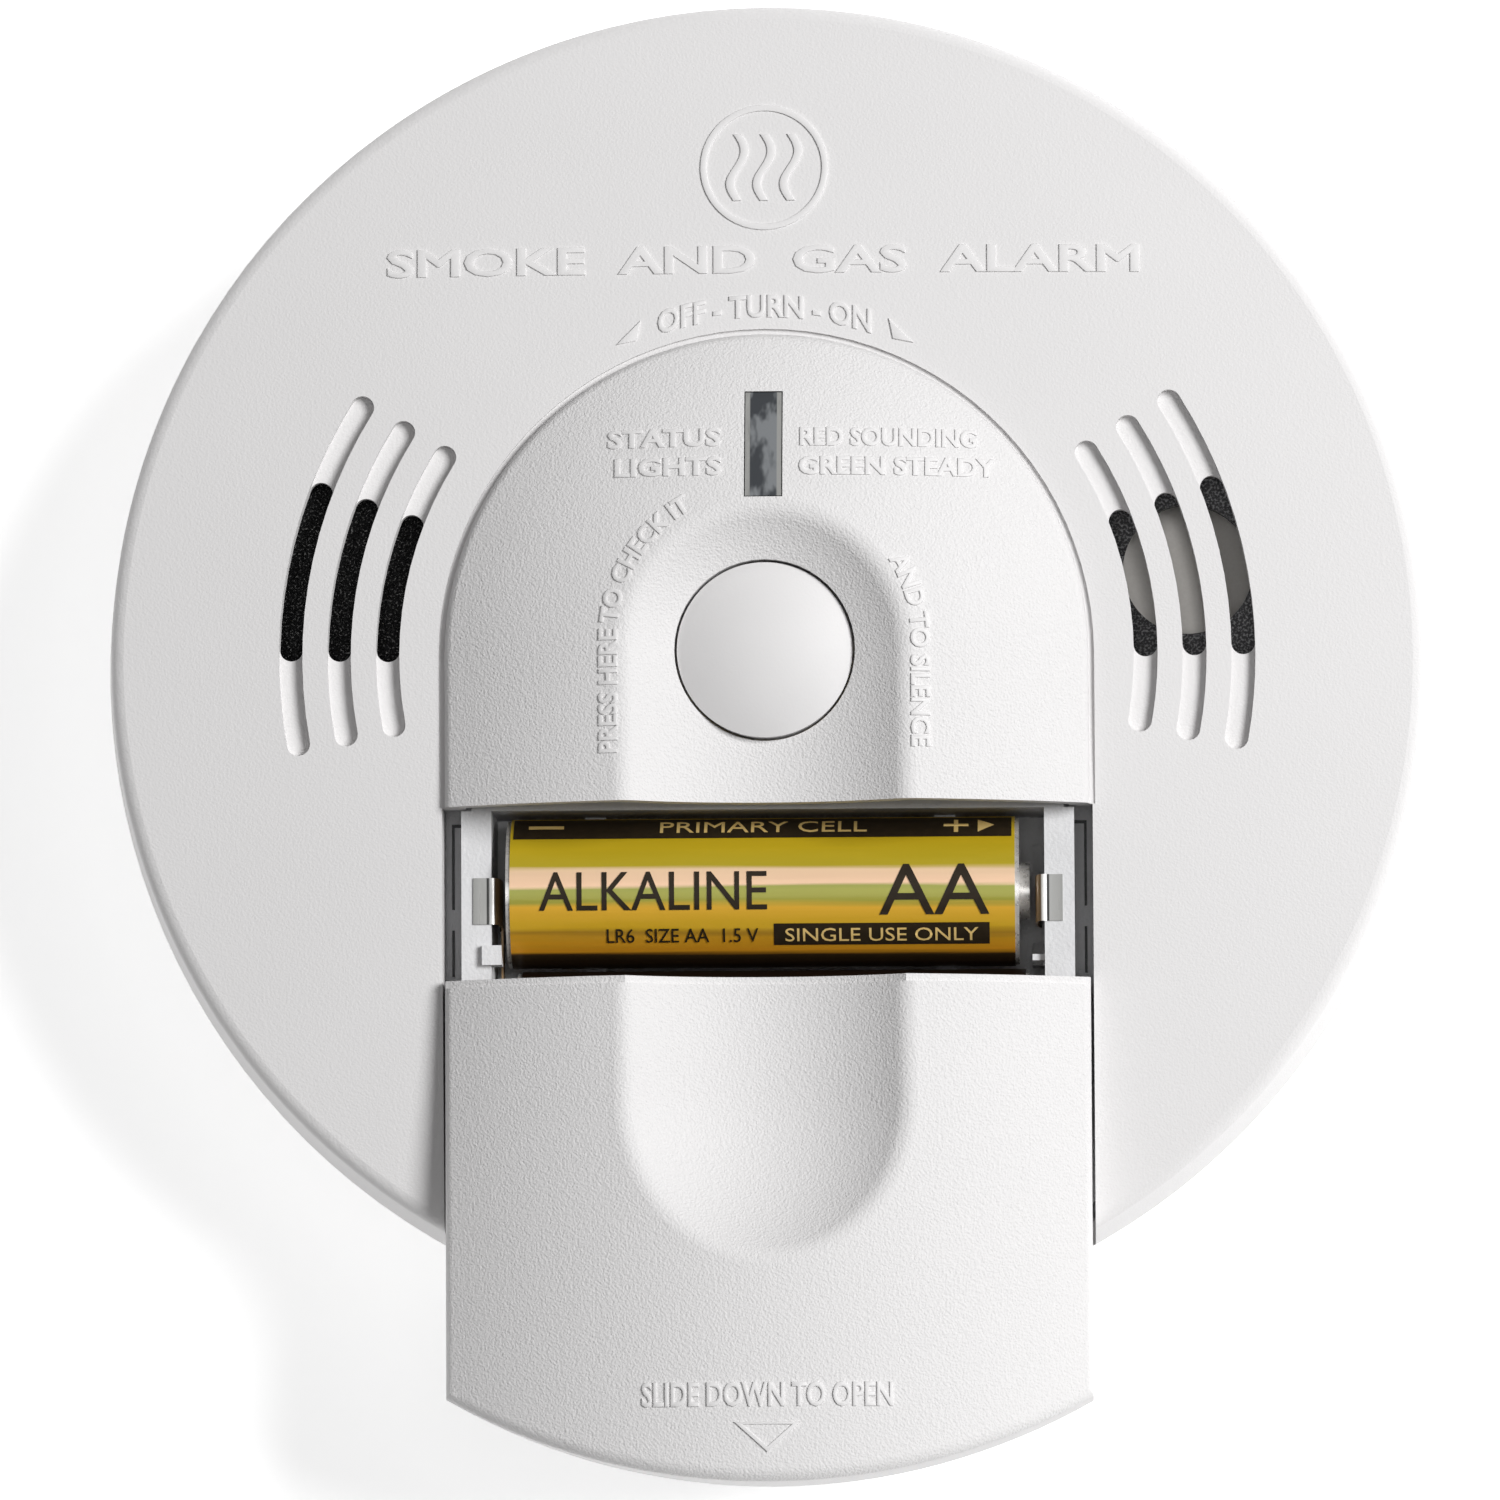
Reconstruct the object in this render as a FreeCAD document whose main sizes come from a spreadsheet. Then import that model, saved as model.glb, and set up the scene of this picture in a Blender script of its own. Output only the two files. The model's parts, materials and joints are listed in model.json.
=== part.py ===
import FreeCAD, Part
import math
import os
import re
import Sketcher

# Combination smoke and gas alarm: a round case with a raised arch, a push button, a sliding
# battery door and two AA cells. Millimetres. The origin is the centre of the bracket's back
# face, +Z points out of the alarm's face, and the battery door slides open along -Y.

DOC = FreeCAD.newDocument("smoke_alarm")
SHEET = DOC.addObject("Spreadsheet::Sheet", "Dims")
NODES = []

DIMENSIONS = {
    # heights and reaches that clear the whole alarm, for cutting tools
    "far_up": 60.0,
    "far_down": -5.0,
    "far_out": 80.0,
    # case
    "rim_radius": 64.7,
    "rim_height": 22.0,
    "skirt_radius": 61.9,
    "skirt_bottom": 9.0,
    "shoulder_radius": 63.6,
    "shoulder_height": 33.4,
    "shoulder_round": 1.5,
    "cone_top": 42.0,
    "cone_lean": 1.2,
    "face_sphere": 465.0,
    "face_apex": 37.6,
    "wall": 2.2,
    "side_gap": 0.3,
    # raised arch, shared by the fixed panel and the battery door
    "arch_half": 31.1,
    "arch_foot": 33.8,
    "arch_wall": 1.1,
    "crown_sphere": 60.0,
    "crown_top": 46.0,
    "crown_wall": 2.0,
    "crown_round": 1.3,
    "crown_run": 90.0,
    "panel_edge": -14.65,
    "moat_width": 0.55,
    "moat_depth": 0.5,
    # finger groove
    "groove_tube": 22.6,
    "groove_axis": 62.7,
    "groove_run": 26.6,
    "groove_wall": 2.2,
    "crest_round": 2.5,
    # test button
    "button_hole": 8.7,
    "button_outer": 8.45,
    "button_edge": 41.3,
    "button_rise": 1.9,
    "button_thick": 2.2,
    "button_skin": 1.6,
    "button_flange": 9.8,
    "flange_bottom": 36.3,
    "flange_top": 37.5,
    "stem": 2.4,
    "stem_foot": 17.0,
    "stem_play": 0.3,
    "spring_radius": 4.6,
    "spring_wire": 0.35,
    "spring_pitch": 2.1,
    "spring_turns": 6.0,
    "spring_foot": 23.2,
    # light window
    "window_width": 3.7,
    "window_length": 10.6,
    "window_middle": 19.8,
    "window_seat": 36.5,
    "window_play": 0.1,
    "window_sink": 0.15,
    "window_rim": 0.9,
    "window_rim_high": 1.3,
    "guide_half": 1.2,
    "guide_reach": 4.0,
    "guide_foot": 14.5,
    "lamp_top": 14.3,
    "lamp_half": 1.6,
    # face vents
    "vent_width": 2.3,
    "vent_inner": 36.63,
    "vent_pitch": 4.72,
    "vent_from": -10.3,
    "vent_sweep": 42.3,
    "open_from": 1.3,
    "open_sweep": 19.2,
    "vent_recess": 1.2,
    "vent_under": 28.0,
    # side vents
    "side_vent_count": 40,
    "side_vent_width": 5.6,
    "side_vent_low": 13.0,
    "side_vent_high": 18.6,
    "side_vent_start": 56.0,
    "side_vent_depth": 12.0,
    # battery bay
    "bay_half": 31.4,
    "bay_floor": 22.2,
    "curtain_wall": 1.5,
    "curtain_end": -52.0,
    "curtain_lift": 0.1,
    "cell_radius": 7.25,
    "can_radius": 7.1,
    "cell_length": 50.5,
    "nub_length": 1.0,
    "nub_radius": 2.75,
    "cell_height": 30.0,
    "front_cell_row": -22.6,
    "cell_pitch": 14.8,
    # tray
    "tray_inner": 26.7,
    "tray_outer": 28.6,
    "rail_outer": 29.6,
    "rail_bottom": 31.1,
    "tray_top": 34.9,
    "tray_under": 20.6,
    "tray_floor": 22.4,
    "tray_round": 61.0,
    "tray_flange": 1.4,
    "tray_skirt": 1.5,
    "tray_back": -13.2,
    "tray_end": -62.0,
    "tray_wall_end": -50.0,
    "lower_end": -45.2,
    "lower_end_top": 33.0,
    "wall_play": 0.2,
    "saddle_across": 17.0,
    "saddle_top": 26.0,
    "rib_deep": 1.2,
    "rib_wide": 2.4,
    "rib_drop": 0.8,
    "peg_low": -29.8,
    "peg_high": -27.9,
    "peg_foot": 30.0,
    "cell_play": 0.35,
    "leg_radius": 2.4,
    "guide_plate_half": 12.0,
    "collar_wall": 1.0,
    "collar_high": 3.0,
    # leaf contacts
    "leaf_sheet": 0.35,
    "leaf_bow": 0.35,
    "leaf_tip": 30.0,
    "leaf_bend": 4.0,
    "leaf_reach": 6.0,
    "leaf_half": 2.25,
    "leaf_shift": 1.0,
    "link_low": 24.0,
    "link_high": 25.5,
    "shelf_low": 27.6,
    "shelf_high": 29.2,
    "shelf_end": -46.5,
    # door
    "door_open": 16.5,
    "door_end": 63.4,
    "door_end_wall": 2.0,
    "door_bottom": 22.8,
    "door_side_bottom": 29.6,
    "lip_top": 30.8,
    "door_step": 0.7,
    "door_step_depth": 0.25,
    "lip_inner": 28.9,
    "lip_end": -45.0,
    "lip_start": 4.0,
    "door_side_end": -47.0,
    # board
    "board_low": 10.5,
    "board_high": 12.1,
    "board_radius": 54.0,
    # sounders
    "horn_across": 40.8,
    "horn_up": 8.5,
    "horn_outer": 15.0,
    "horn_port": 6.3,
    "horn_top": 31.2,
    "horn_bottom": 18.0,
    "horn_wall": 1.4,
    "horn_roof": 1.6,
    "gasket_inner": 10.6,
    "gasket_high": 4.0,
    "disc_radius": 12.5,
    "disc_sheet": 0.4,
    "terminal_radius": 0.8,
    "terminal_reach": 8.0,
    "speaker_across": -41.0,
    "speaker_up": 7.0,
    "speaker_outer": 14.5,
    "speaker_top": 28.4,
    "magnet_radius": 8.2,
    "magnet_top": 16.2,
    "cloth_radius": 14.2,
    "cloth_low": 28.6,
    "cloth_high": 31.0,
    # smoke chamber
    "chamber_up": 39.0,
    "chamber_radius": 14.6,
    "chamber_high": 29.0,
    "chamber_floor": 14.0,
    "chamber_lid": 27.0,
    "screen_sheet": 0.4,
    "screen_inset": 0.1,
    "vane_length": 3.4,
    "vane_thick": 0.8,
    "vane_high": 13.0,
    "vane_circle": 10.6,
    # screws
    "screw_circle": 55.4,
    "screw_shank": 1.5,
    "screw_head": 2.7,
    "screw_head_high": 1.6,
    "screw_tip": 18.0,
    "pilot_top": 20.0,
    "boss_radius": 3.4,
    "boss_seam": 12.5,
    "boss_top": 32.6,
    # back and bracket
    "back_floor_low": 5.5,
    "back_floor_high": 7.3,
    "back_ring_low": 0.6,
    "back_top": 12.0,
    "back_lip_wall": 1.6,
    "rest_radius": 3.0,
    "rest_circle": 30.0,
    "lug_outer": 57.2,
    "bracket_radius": 54.0,
    "bracket_plate": 2.2,
    "hook_inner": 49.0,
    "hook_outer": 50.5,
    "hook_lip": 52.5,
    "lip_low": 4.3,
    "hook_high": 5.2,
    "lug_inner": 50.9,
    "lug_low": 2.5,
    "lug_high": 4.0,
    "slot_spacing": 60.0,
    "slot_length": 9.0,
    "slot_half": 2.3,
}


def fill_sheet():
    for row, (alias, value) in enumerate(DIMENSIONS.items(), start=1):
        SHEET.set(f"A{row}", alias.replace("_", " "))
        SHEET.set(f"B{row}", str(value))
        SHEET.setAlias(f"B{row}", alias)
    DOC.recompute()


def formula(text):
    """A formula on the sheet's aliases: every plain word in it is read from the sheet."""
    return re.sub(r"[a-z][a-z0-9_]*(?![a-z0-9_(])", lambda word: "Dims." + word.group(0), str(text))


def bind(feature, **sizes):
    for name, text in sizes.items():
        feature.setExpression(name, formula(text))


def move(feature, x=0, y=0, z=0):
    for axis, text in (("x", x), ("y", y), ("z", z)):
        feature.setExpression(f"Placement.Base.{axis}", formula(text))


def turn(feature, axis, angle):
    feature.Placement = FreeCAD.Placement(feature.Placement.Base, FreeCAD.Rotation(axis, angle))


X_AXIS = FreeCAD.Vector(1, 0, 0)
Y_AXIS = FreeCAD.Vector(0, 1, 0)
Z_AXIS = FreeCAD.Vector(0, 0, 1)


# ---------------------------------------------------------------- building blocks

def cylinder(name, radius, bottom, top, x=0, y=0):
    solid = DOC.addObject("Part::Cylinder", name)
    bind(solid, Radius=radius, Height=f"({top}) - ({bottom})")
    move(solid, x, y, bottom)
    return solid


def rod(name, radius, start, length, y, z, direction=1):
    """A cylinder that lies along X and runs from x = start."""
    solid = DOC.addObject("Part::Cylinder", name)
    bind(solid, Radius=radius, Height=length)
    turn(solid, Y_AXIS, 90 * direction)
    move(solid, start, y, z)
    return solid


def ball(name, radius, x=0, y=0, z=0):
    solid = DOC.addObject("Part::Sphere", name)
    bind(solid, Radius=radius)
    move(solid, x, y, z)
    return solid


def box(name, x_low, x_high, y_low, y_high, bottom, top):
    solid = DOC.addObject("Part::Box", name)
    bind(solid, Length=f"({x_high}) - ({x_low})", Width=f"({y_high}) - ({y_low})",
         Height=f"({top}) - ({bottom})")
    move(solid, x_low, y_low, bottom)
    return solid


def sector(name, radius, start, sweep, bottom, top):
    """A slice of a disc about the Z axis, from the start angle over the sweep."""
    solid = DOC.addObject("Part::Cylinder", name)
    bind(solid, Radius=radius, Angle=sweep, Height=f"({top}) - ({bottom})")
    move(solid, 0, 0, bottom)
    solid.setExpression("Placement.Rotation.Axis.z", "1")
    solid.setExpression("Placement.Rotation.Angle", formula(start))
    return solid


def fuse(name, *shapes):
    joined = DOC.addObject("Part::MultiFuse", name)
    joined.Shapes = list(shapes)
    joined.Refine = True
    return joined


def common(name, *shapes):
    shared = DOC.addObject("Part::MultiCommon", name)
    shared.Shapes = list(shapes)
    shared.Refine = True
    return shared


def cut(name, base, *tools):
    tool = tools[0]
    if len(tools) > 1:
        tool = fuse(name + "_tools", *tools)
    left = DOC.addObject("Part::Cut", name)
    left.Base = base
    left.Tool = tool
    left.Refine = True
    return left


def group(name, solids):
    """Separate solids that share one node."""
    held = DOC.addObject("Part::Compound", name)
    held.Links = list(solids)
    return held


def mirrored(name, source, normal=X_AXIS):
    copy = DOC.addObject("Part::Mirroring", name)
    copy.Source = source
    copy.Normal = normal
    copy.Base = FreeCAD.Vector(0, 0, 0)
    return copy


def round_edges(name, base, alias, wanted):
    """Fillet the edges of base that the test picks, with the sheet's radius."""
    DOC.recompute()
    radius = SHEET.get(alias)
    fillet = DOC.addObject("Part::Fillet", name)
    fillet.Base = base
    edges = base.Shape.Edges
    fillet.Edges = [(i + 1, radius, radius) for i, edge in enumerate(edges) if wanted(edge)]
    return fillet


def outline(body, role, corners):
    """A closed sketch of straight lines on one of the body's origin planes."""
    plane = next(o for o in body.Origin.OriginFeatures if o.Role == role)
    sketch = body.newObject("Sketcher::SketchObject", body.Name + "_outline")
    sketch.AttachmentSupport = (plane, [""])
    sketch.MapMode = "FlatFace"
    count = len(corners)
    for i in range(count):
        a = 2 * math.pi * i / count
        b = 2 * math.pi * (i + 1) / count
        start = FreeCAD.Vector(30 + 20 * math.cos(a), 30 + 20 * math.sin(a), 0)
        end = FreeCAD.Vector(30 + 20 * math.cos(b), 30 + 20 * math.sin(b), 0)
        sketch.addGeometry(Part.LineSegment(start, end), False)
    for i in range(count):
        sketch.addConstraint(Sketcher.Constraint("Coincident", i, 2, (i + 1) % count, 1))
    for i, (across, up) in enumerate(corners):
        for kind, text in (("DistanceX", across), ("DistanceY", up)):
            index = sketch.addConstraint(Sketcher.Constraint(kind, -1, 1, i, 1, 1.0 + i))
            sketch.setExpression(f"Constraints[{index}]", formula(text))
    return sketch


def turned(name, corners, x=0, y=0):
    """A body of revolution about a line along Z; corners are (radius, height) pairs."""
    body = DOC.addObject("PartDesign::Body", name)
    sketch = outline(body, "XZ_Plane", corners)
    spin = body.newObject("PartDesign::Revolution", name + "_revolution")
    spin.Profile = sketch
    spin.ReferenceAxis = (sketch, ["V_Axis"])
    spin.Angle = 360
    body.Tip = spin
    move(body, x, y, 0)
    return body


def strip(name, corners, y_low, y_high):
    """A bent strip: corners are its (x, z) outline, and it runs from y_low to y_high."""
    body = DOC.addObject("PartDesign::Body", name)
    sketch = outline(body, "XZ_Plane", corners)
    pad = body.newObject("PartDesign::Pad", name + "_pad")
    pad.Profile = sketch
    bind(pad, Length=f"({y_high}) - ({y_low})")
    body.Tip = pad
    move(body, 0, y_high, 0)
    return body


def node(name, feature):
    feature.Label = name
    NODES.append((name, feature))
    return feature


def around(count, start=0.0):
    return [start + 360.0 / count * i for i in range(count)]


def on_circle(radius, angle):
    c = math.cos(math.radians(angle))
    s = math.sin(math.radians(angle))
    return f"({radius}) * ({c:.6f})", f"({radius}) * ({s:.6f})"


# ---------------------------------------------------------------- the arch and its groove

def capsule(name, radius, height, run, closed=True):
    """Tube along Y about the line at this height, from a round head at y = 0 to y = -run."""
    tube = DOC.addObject("Part::Cylinder", name + "_tube")
    bind(tube, Radius=radius, Height=run)
    turn(tube, X_AXIS, 90)
    move(tube, 0, 0, height)
    parts = [tube, ball(name + "_head", radius, 0, 0, height)]
    if closed:
        parts.append(ball(name + "_foot", radius, 0, f"-({run})", height))
    return fuse(name, *parts)


def crown(name, inset):
    """The solid below the arch's crown: domed above y = 0, a barrel below it."""
    return capsule(name, f"crown_sphere - ({inset})", "crown_top - crown_sphere",
                   "crown_run", closed=False)


def arch(name, inset, y_low, bottom, top):
    """The arch's plan: a half disc above y = 0 and straight sides down to y_low."""
    disc = cylinder(name + "_disc", f"arch_half - ({inset})", bottom, top)
    sides = box(name + "_sides", f"-(arch_half - ({inset}))", f"arch_half - ({inset})",
                y_low, 0, bottom, top)
    half = box(name + "_half", "-far_out", "far_out", 0, "far_out", bottom, top)
    upper = common(name + "_upper", disc, half)
    return fuse(name, upper, sides)


# ---------------------------------------------------------------- front cover

def case_outside():
    turned_case = turned("case_outline", [
        (0, "skirt_bottom"), ("skirt_radius", "skirt_bottom"), ("rim_radius", "rim_height"),
        ("shoulder_radius", "shoulder_height"), ("shoulder_radius - cone_lean", "cone_top"),
        (0, "cone_top")])
    dome = ball("face_dome", "face_sphere", 0, 0, "face_apex - face_sphere")
    domed = common("case_domed", turned_case, dome)

    def shoulder(edge):
        low = edge.BoundBox
        return low.ZLength < 0.1 and 30 < low.ZMin < 36 and low.XMax > 60
    return round_edges("case_outside", domed, "shoulder_round", shoulder)


def case_inside():
    hollow = turned("case_hollow", [
        (0, "far_down"), ("skirt_radius - wall", "far_down"),
        ("skirt_radius - wall", "skirt_bottom"), ("rim_radius - wall", "rim_height"),
        ("shoulder_radius - wall", "shoulder_height"),
        ("shoulder_radius - wall - cone_lean", "cone_top"), (0, "cone_top")])
    dome = ball("face_underside", "face_sphere - wall", 0, 0, "face_apex - face_sphere")
    return common("case_inside", hollow, dome)


def arch_outside(name, y_low):
    plan = arch(name + "_plan", 0, y_low, "arch_foot", "far_up")
    return common(name, plan, crown(name + "_crown", 0))


def is_crest(edge):
    """The groove's rim, where it meets the crown."""
    low = edge.BoundBox
    middle = edge.CenterOfMass
    return low.ZMin > 43 and low.XMin > -16 and low.XMax < 16 and low.YLength > 2 and (
        abs(middle.x) > 10 or low.XLength > 20)


def panel_outside():
    raised = arch_outside("panel_raised", "panel_edge")

    def top_edge(edge):
        middle = edge.CenterOfMass
        low = edge.BoundBox
        return low.ZMin > 36 and low.YMin > SHEET.get("panel_edge") + 0.01 - low.YLength \
            and (low.XMax > 29 or low.XMin < -29) and abs(middle.y - SHEET.get("panel_edge")) > 0.1
    rounded = round_edges("panel_rounded", raised, "crown_round", top_edge)
    groove = capsule("panel_groove", "groove_tube", "groove_axis", "groove_run")
    return round_edges("panel_outside", cut("panel_grooved", rounded, groove), "crest_round", is_crest)


def panel_inside():
    plan = arch("panel_room_plan", "crown_wall", "panel_edge - 1", "arch_foot - 1", "far_up")
    room = common("panel_room", plan, crown("panel_room_crown", "crown_wall"))
    groove = capsule("panel_groove_back", "groove_tube + groove_wall", "groove_axis", "groove_run")
    return cut("panel_inside", room, groove)


def arc_slot(name, radius, start, sweep, bottom, top):
    """A slot along an arc about Z, with round ends."""
    outer = sector(name + "_outer", f"({radius}) + vent_width / 2", start, sweep, bottom, top)
    inner = cylinder(name + "_inner", f"({radius}) - vent_width / 2", f"({bottom}) - 1", f"({top}) + 1")
    ends = []
    for label, angle in (("from", start), ("to", f"({start}) + ({sweep})")):
        end = cylinder(f"{name}_{label}", "vent_width / 2", bottom, top,
                       f"({radius}) * cos(({angle}))", f"({radius}) * sin(({angle}))")
        ends.append(end)
    return fuse(name, cut(name + "_arc", outer, inner), *ends)


def face_vents():
    right = []
    for i in range(3):
        radius = f"vent_inner + vent_pitch * {i}"
        surface = f"face_apex - ({radius})^2 / (2 * face_sphere)"
        right.append(arc_slot(f"vent_recess_{i}", radius, "vent_from", "vent_sweep",
                              f"{surface} - vent_recess", "far_up"))
        right.append(arc_slot(f"vent_open_{i}", radius, "open_from", "open_sweep",
                              "vent_under", "far_up"))
    vents = fuse("vents_right", *right)
    return vents, mirrored("vents_left", vents)


def side_vents():
    slots = []
    for i, angle in enumerate(around(int(SHEET.get("side_vent_count")))):
        slot = DOC.addObject("Part::Box", f"side_vent_{i}")
        bind(slot, Length="side_vent_depth", Width="side_vent_width",
             Height="side_vent_high - side_vent_low")
        turn(slot, Z_AXIS, angle)
        corner = FreeCAD.Vector(SHEET.get("side_vent_start"), -SHEET.get("side_vent_width") / 2, 0)
        away = FreeCAD.Rotation(Z_AXIS, angle).multVec(corner)
        move(slot, f"{away.x:.5f}", f"{away.y:.5f}", "side_vent_low")
        slots.append(slot)
    return fuse("side_vents", *slots)


def cover_bosses():
    """Posts for the case screws, from the seam with the back cover up to the face."""
    bosses = []
    for i, angle in enumerate(around(4, 45)):
        x, y = on_circle("screw_circle", angle)
        post = cylinder(f"cover_post_{i}", "boss_radius", "boss_seam", "boss_top", x, y)
        pilot = cylinder(f"cover_pilot_{i}", "screw_shank + 0.1", "board_low", "pilot_top", x, y)
        bosses.append(cut(f"cover_boss_{i}", post, pilot))
    return bosses


def bay_curtains():
    """Ribs under the face along both sides of the battery bay."""
    right = box("curtain_right_box", "bay_half", "bay_half + curtain_wall", "curtain_end",
                "panel_edge", "shelf_high + curtain_lift", "far_up")
    under = ball("curtain_dome", "face_sphere - wall / 2", 0, 0, "face_apex - face_sphere")
    deep = box("curtain_deep_box", "bay_half", "bay_half + curtain_wall", "curtain_end - 1",
               "shelf_end - side_gap", "tray_floor", "peg_foot")
    rib = fuse("curtain_right", common("curtain_upper", right, under), deep)
    return rib, mirrored("curtain_left", rib)


def front_cover():
    face_at_arch = "face_apex - arch_half^2 / (2 * face_sphere)"
    case = cut("case_shell", case_outside(), case_inside())
    plan = arch("arch_hole_plan", "crown_wall", "panel_edge - 1", "arch_foot - 1", "far_up")
    opened = cut("case_opened", case, plan)
    panel = cut("panel_shell", panel_outside(), panel_inside())
    moat_out = arch("moat_outer", "-moat_width", "panel_edge", f"{face_at_arch} - moat_depth",
                    "far_up")
    moat_in = arch("moat_inner", "0", "panel_edge - 1", 0, "far_up + 1")
    moat = cut("moat", moat_out, moat_in)
    with_moat = cut("case_with_moat", opened, moat)
    ribs = bay_curtains()
    whole = fuse("cover_whole", with_moat, panel, *ribs, *cover_bosses())
    bay = box("bay_cut", "-bay_half", "bay_half", "-far_out", "panel_edge", "bay_floor", "far_up")
    hole = cylinder("button_hole_cut", "button_hole", "bay_floor", "far_up")
    window = box("window_cut", "-window_width / 2", "window_width / 2",
                 "window_middle - window_length / 2", "window_middle + window_length / 2",
                 "window_seat - 0.4", "far_up")
    holed = cut("cover_holed", whole, bay, hole, window, *face_vents())
    return node("front_cover", cut("cover", holed, side_vents()))


# ---------------------------------------------------------------- battery door

def battery_door():
    """Built closed, then slid open: a barrel-topped lid whose lips run under the tray's rails."""
    top_edge = "panel_edge - side_gap"
    plan = box("door_plan", "-arch_half", "arch_half", "-far_out", top_edge, "door_bottom", "far_up")
    end = cylinder("door_end_outside", "door_end", "door_bottom", "far_up")
    block = common("door_block", plan, end, crown("door_crown", 0))

    def rounded(edge):
        low = edge.BoundBox
        return low.ZMin > 36 and low.YMin < SHEET.get("panel_edge") - 2
    softened = round_edges("door_softened", block, "crown_round", rounded)
    groove = capsule("door_groove", "groove_tube", "groove_axis", "groove_run")
    outside = round_edges("door_outside", cut("door_grooved", softened, groove), "crest_round",
                          is_crest)
    room_plan = box("door_room_plan", "-(arch_half - arch_wall)", "arch_half - arch_wall",
                    "-far_out", 0, 0, "far_up")
    room_end = cylinder("door_room_end", "door_end - door_end_wall", 0, "far_up")
    room_block = common("door_room_block", room_plan, room_end,
                        crown("door_room_crown", "crown_wall"))
    groove_back = capsule("door_groove_back", "groove_tube + groove_wall", "groove_axis",
                          "groove_run")
    room = cut("door_room", room_block, groove_back)
    side_cut = box("door_side_cut", "-far_out", "far_out", "door_side_end", 0, 0, "door_side_bottom")
    edge_strip = box("door_edge_strip", "-far_out", "far_out", f"{top_edge} - door_step", 0,
                     "lip_top", "far_up")
    edge_groove = capsule("door_edge_groove", "groove_tube + door_step_depth", "groove_axis",
                          "groove_run")
    edge_keep = cut("door_edge_keep", crown("door_edge_crown", "door_step_depth"), edge_groove)
    shell = cut("door_shell", outside, room, side_cut, cut("door_edge_step", edge_strip, edge_keep))
    lips = []
    for name, low, high in (("right", "lip_inner", "arch_half - arch_wall / 2"),
                            ("left", "-(arch_half - arch_wall / 2)", "-lip_inner")):
        lips.append(box(f"door_lip_{name}", low, high, "lip_end", f"{top_edge} - lip_start",
                        "door_side_bottom", "lip_top"))
    door = fuse("door", shell, *lips)
    move(door, 0, "-door_open", 0)
    return node("battery_door", door)


# ---------------------------------------------------------------- battery tray

def tray_side(side, sign):
    """One side of the tray: its wall, the rail and shelf for the door's lip, and a skirt."""
    def span(near, far):
        return (near, far) if sign > 0 else (f"-({far})", f"-({near})")
    edge = "panel_edge - wall_play"
    flange = "bay_half + tray_flange"
    return [
        box(f"tray_wall_{side}", *span("tray_inner", "tray_outer"), "tray_wall_end", edge,
            "tray_floor", "tray_top"),
        box(f"tray_rail_{side}", *span("tray_inner", "rail_outer"), "tray_wall_end", edge,
            "rail_bottom", "tray_top"),
        box(f"tray_shelf_{side}", *span("tray_outer", flange), "shelf_end", edge,
            "shelf_low", "shelf_high"),
        box(f"tray_skirt_{side}", *span(f"{flange} - tray_skirt", flange), "shelf_end", edge,
            "tray_floor", "shelf_low")]


def tray_ends():
    edge = "panel_edge - wall_play"
    flange = "bay_half + tray_flange"
    return [
        box("tray_upper_end", f"-({flange})", flange, edge, "tray_back", "tray_floor", "shelf_high"),
        box("tray_upper_lip", "-tray_outer", "tray_outer", edge, "tray_back",
            "tray_floor", "tray_top"),
        box("tray_lower_end", "-tray_outer", "tray_outer", "lower_end - tray_flange", "lower_end",
            "tray_floor", "lower_end_top")]


def tray_details():
    """The saddles that carry the cells, the ribs beside the nub, and the small peg."""
    saddles = [box(f"tray_saddle_{i}", f"{sign} * saddle_across - 1", f"{sign} * saddle_across + 1",
                   "lower_end", "panel_edge - wall_play", "tray_floor", "saddle_top")
               for i, sign in enumerate((-1, 1))]
    ribs = [box(f"nub_rib_{i}", "tray_inner - rib_deep", "tray_inner",
                f"front_cell_row - leaf_shift + ({low})",
                f"front_cell_row - leaf_shift + ({low}) + rib_wide",
                "tray_floor", "tray_top - rib_drop")
            for i, low in enumerate((-6.0, 3.5))]
    peg = box("tray_peg", "-tray_inner - 0.9", "-tray_inner + 1.0", "peg_low", "peg_high",
              "peg_foot", "tray_top + rib_drop")
    return saddles + ribs + [peg]


def battery_tray():
    """Open tray for two AA cells, with rails for the door and a plate that guides the button."""
    floor = box("tray_floor_box", "-(bay_half + tray_flange)", "bay_half + tray_flange",
                "tray_end", "tray_back", "tray_under", "tray_floor")
    block = fuse("tray_block", floor, *tray_side("right", 1), *tray_side("left", -1),
                 *tray_ends(), *tray_details())
    cells = [rod(f"tray_cell_room_{i}", "cell_radius + cell_play", "-tray_inner",
                 "2 * tray_inner", f"front_cell_row - cell_pitch * {i}", "cell_height")
             for i in range(2)]
    keep = cylinder("tray_keep", "tray_round", 0, "far_up")
    trimmed = common("tray_trimmed", cut("tray_hollowed", block, *cells), keep)
    guide_plate = box("guide_plate", "-guide_plate_half", "guide_plate_half", "tray_back",
                      "guide_plate_half", "tray_under", "tray_floor")
    collar = cylinder("guide_collar", "stem + stem_play + collar_wall", "tray_floor",
                      "tray_floor + collar_high")
    bore = cylinder("guide_bore", "stem + stem_play", 0, "far_up")
    legs = [cylinder(f"tray_leg_{i}", "leg_radius", "board_high", "tray_under", x, y)
            for i, (x, y) in enumerate(((-22, -40), (22, -40), (-9, 9), (9, 9)))]
    body = fuse("tray_body", trimmed, guide_plate, collar, *legs)
    return node("battery_tray", cut("tray", body, bore))


# ---------------------------------------------------------------- cells and contacts

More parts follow.
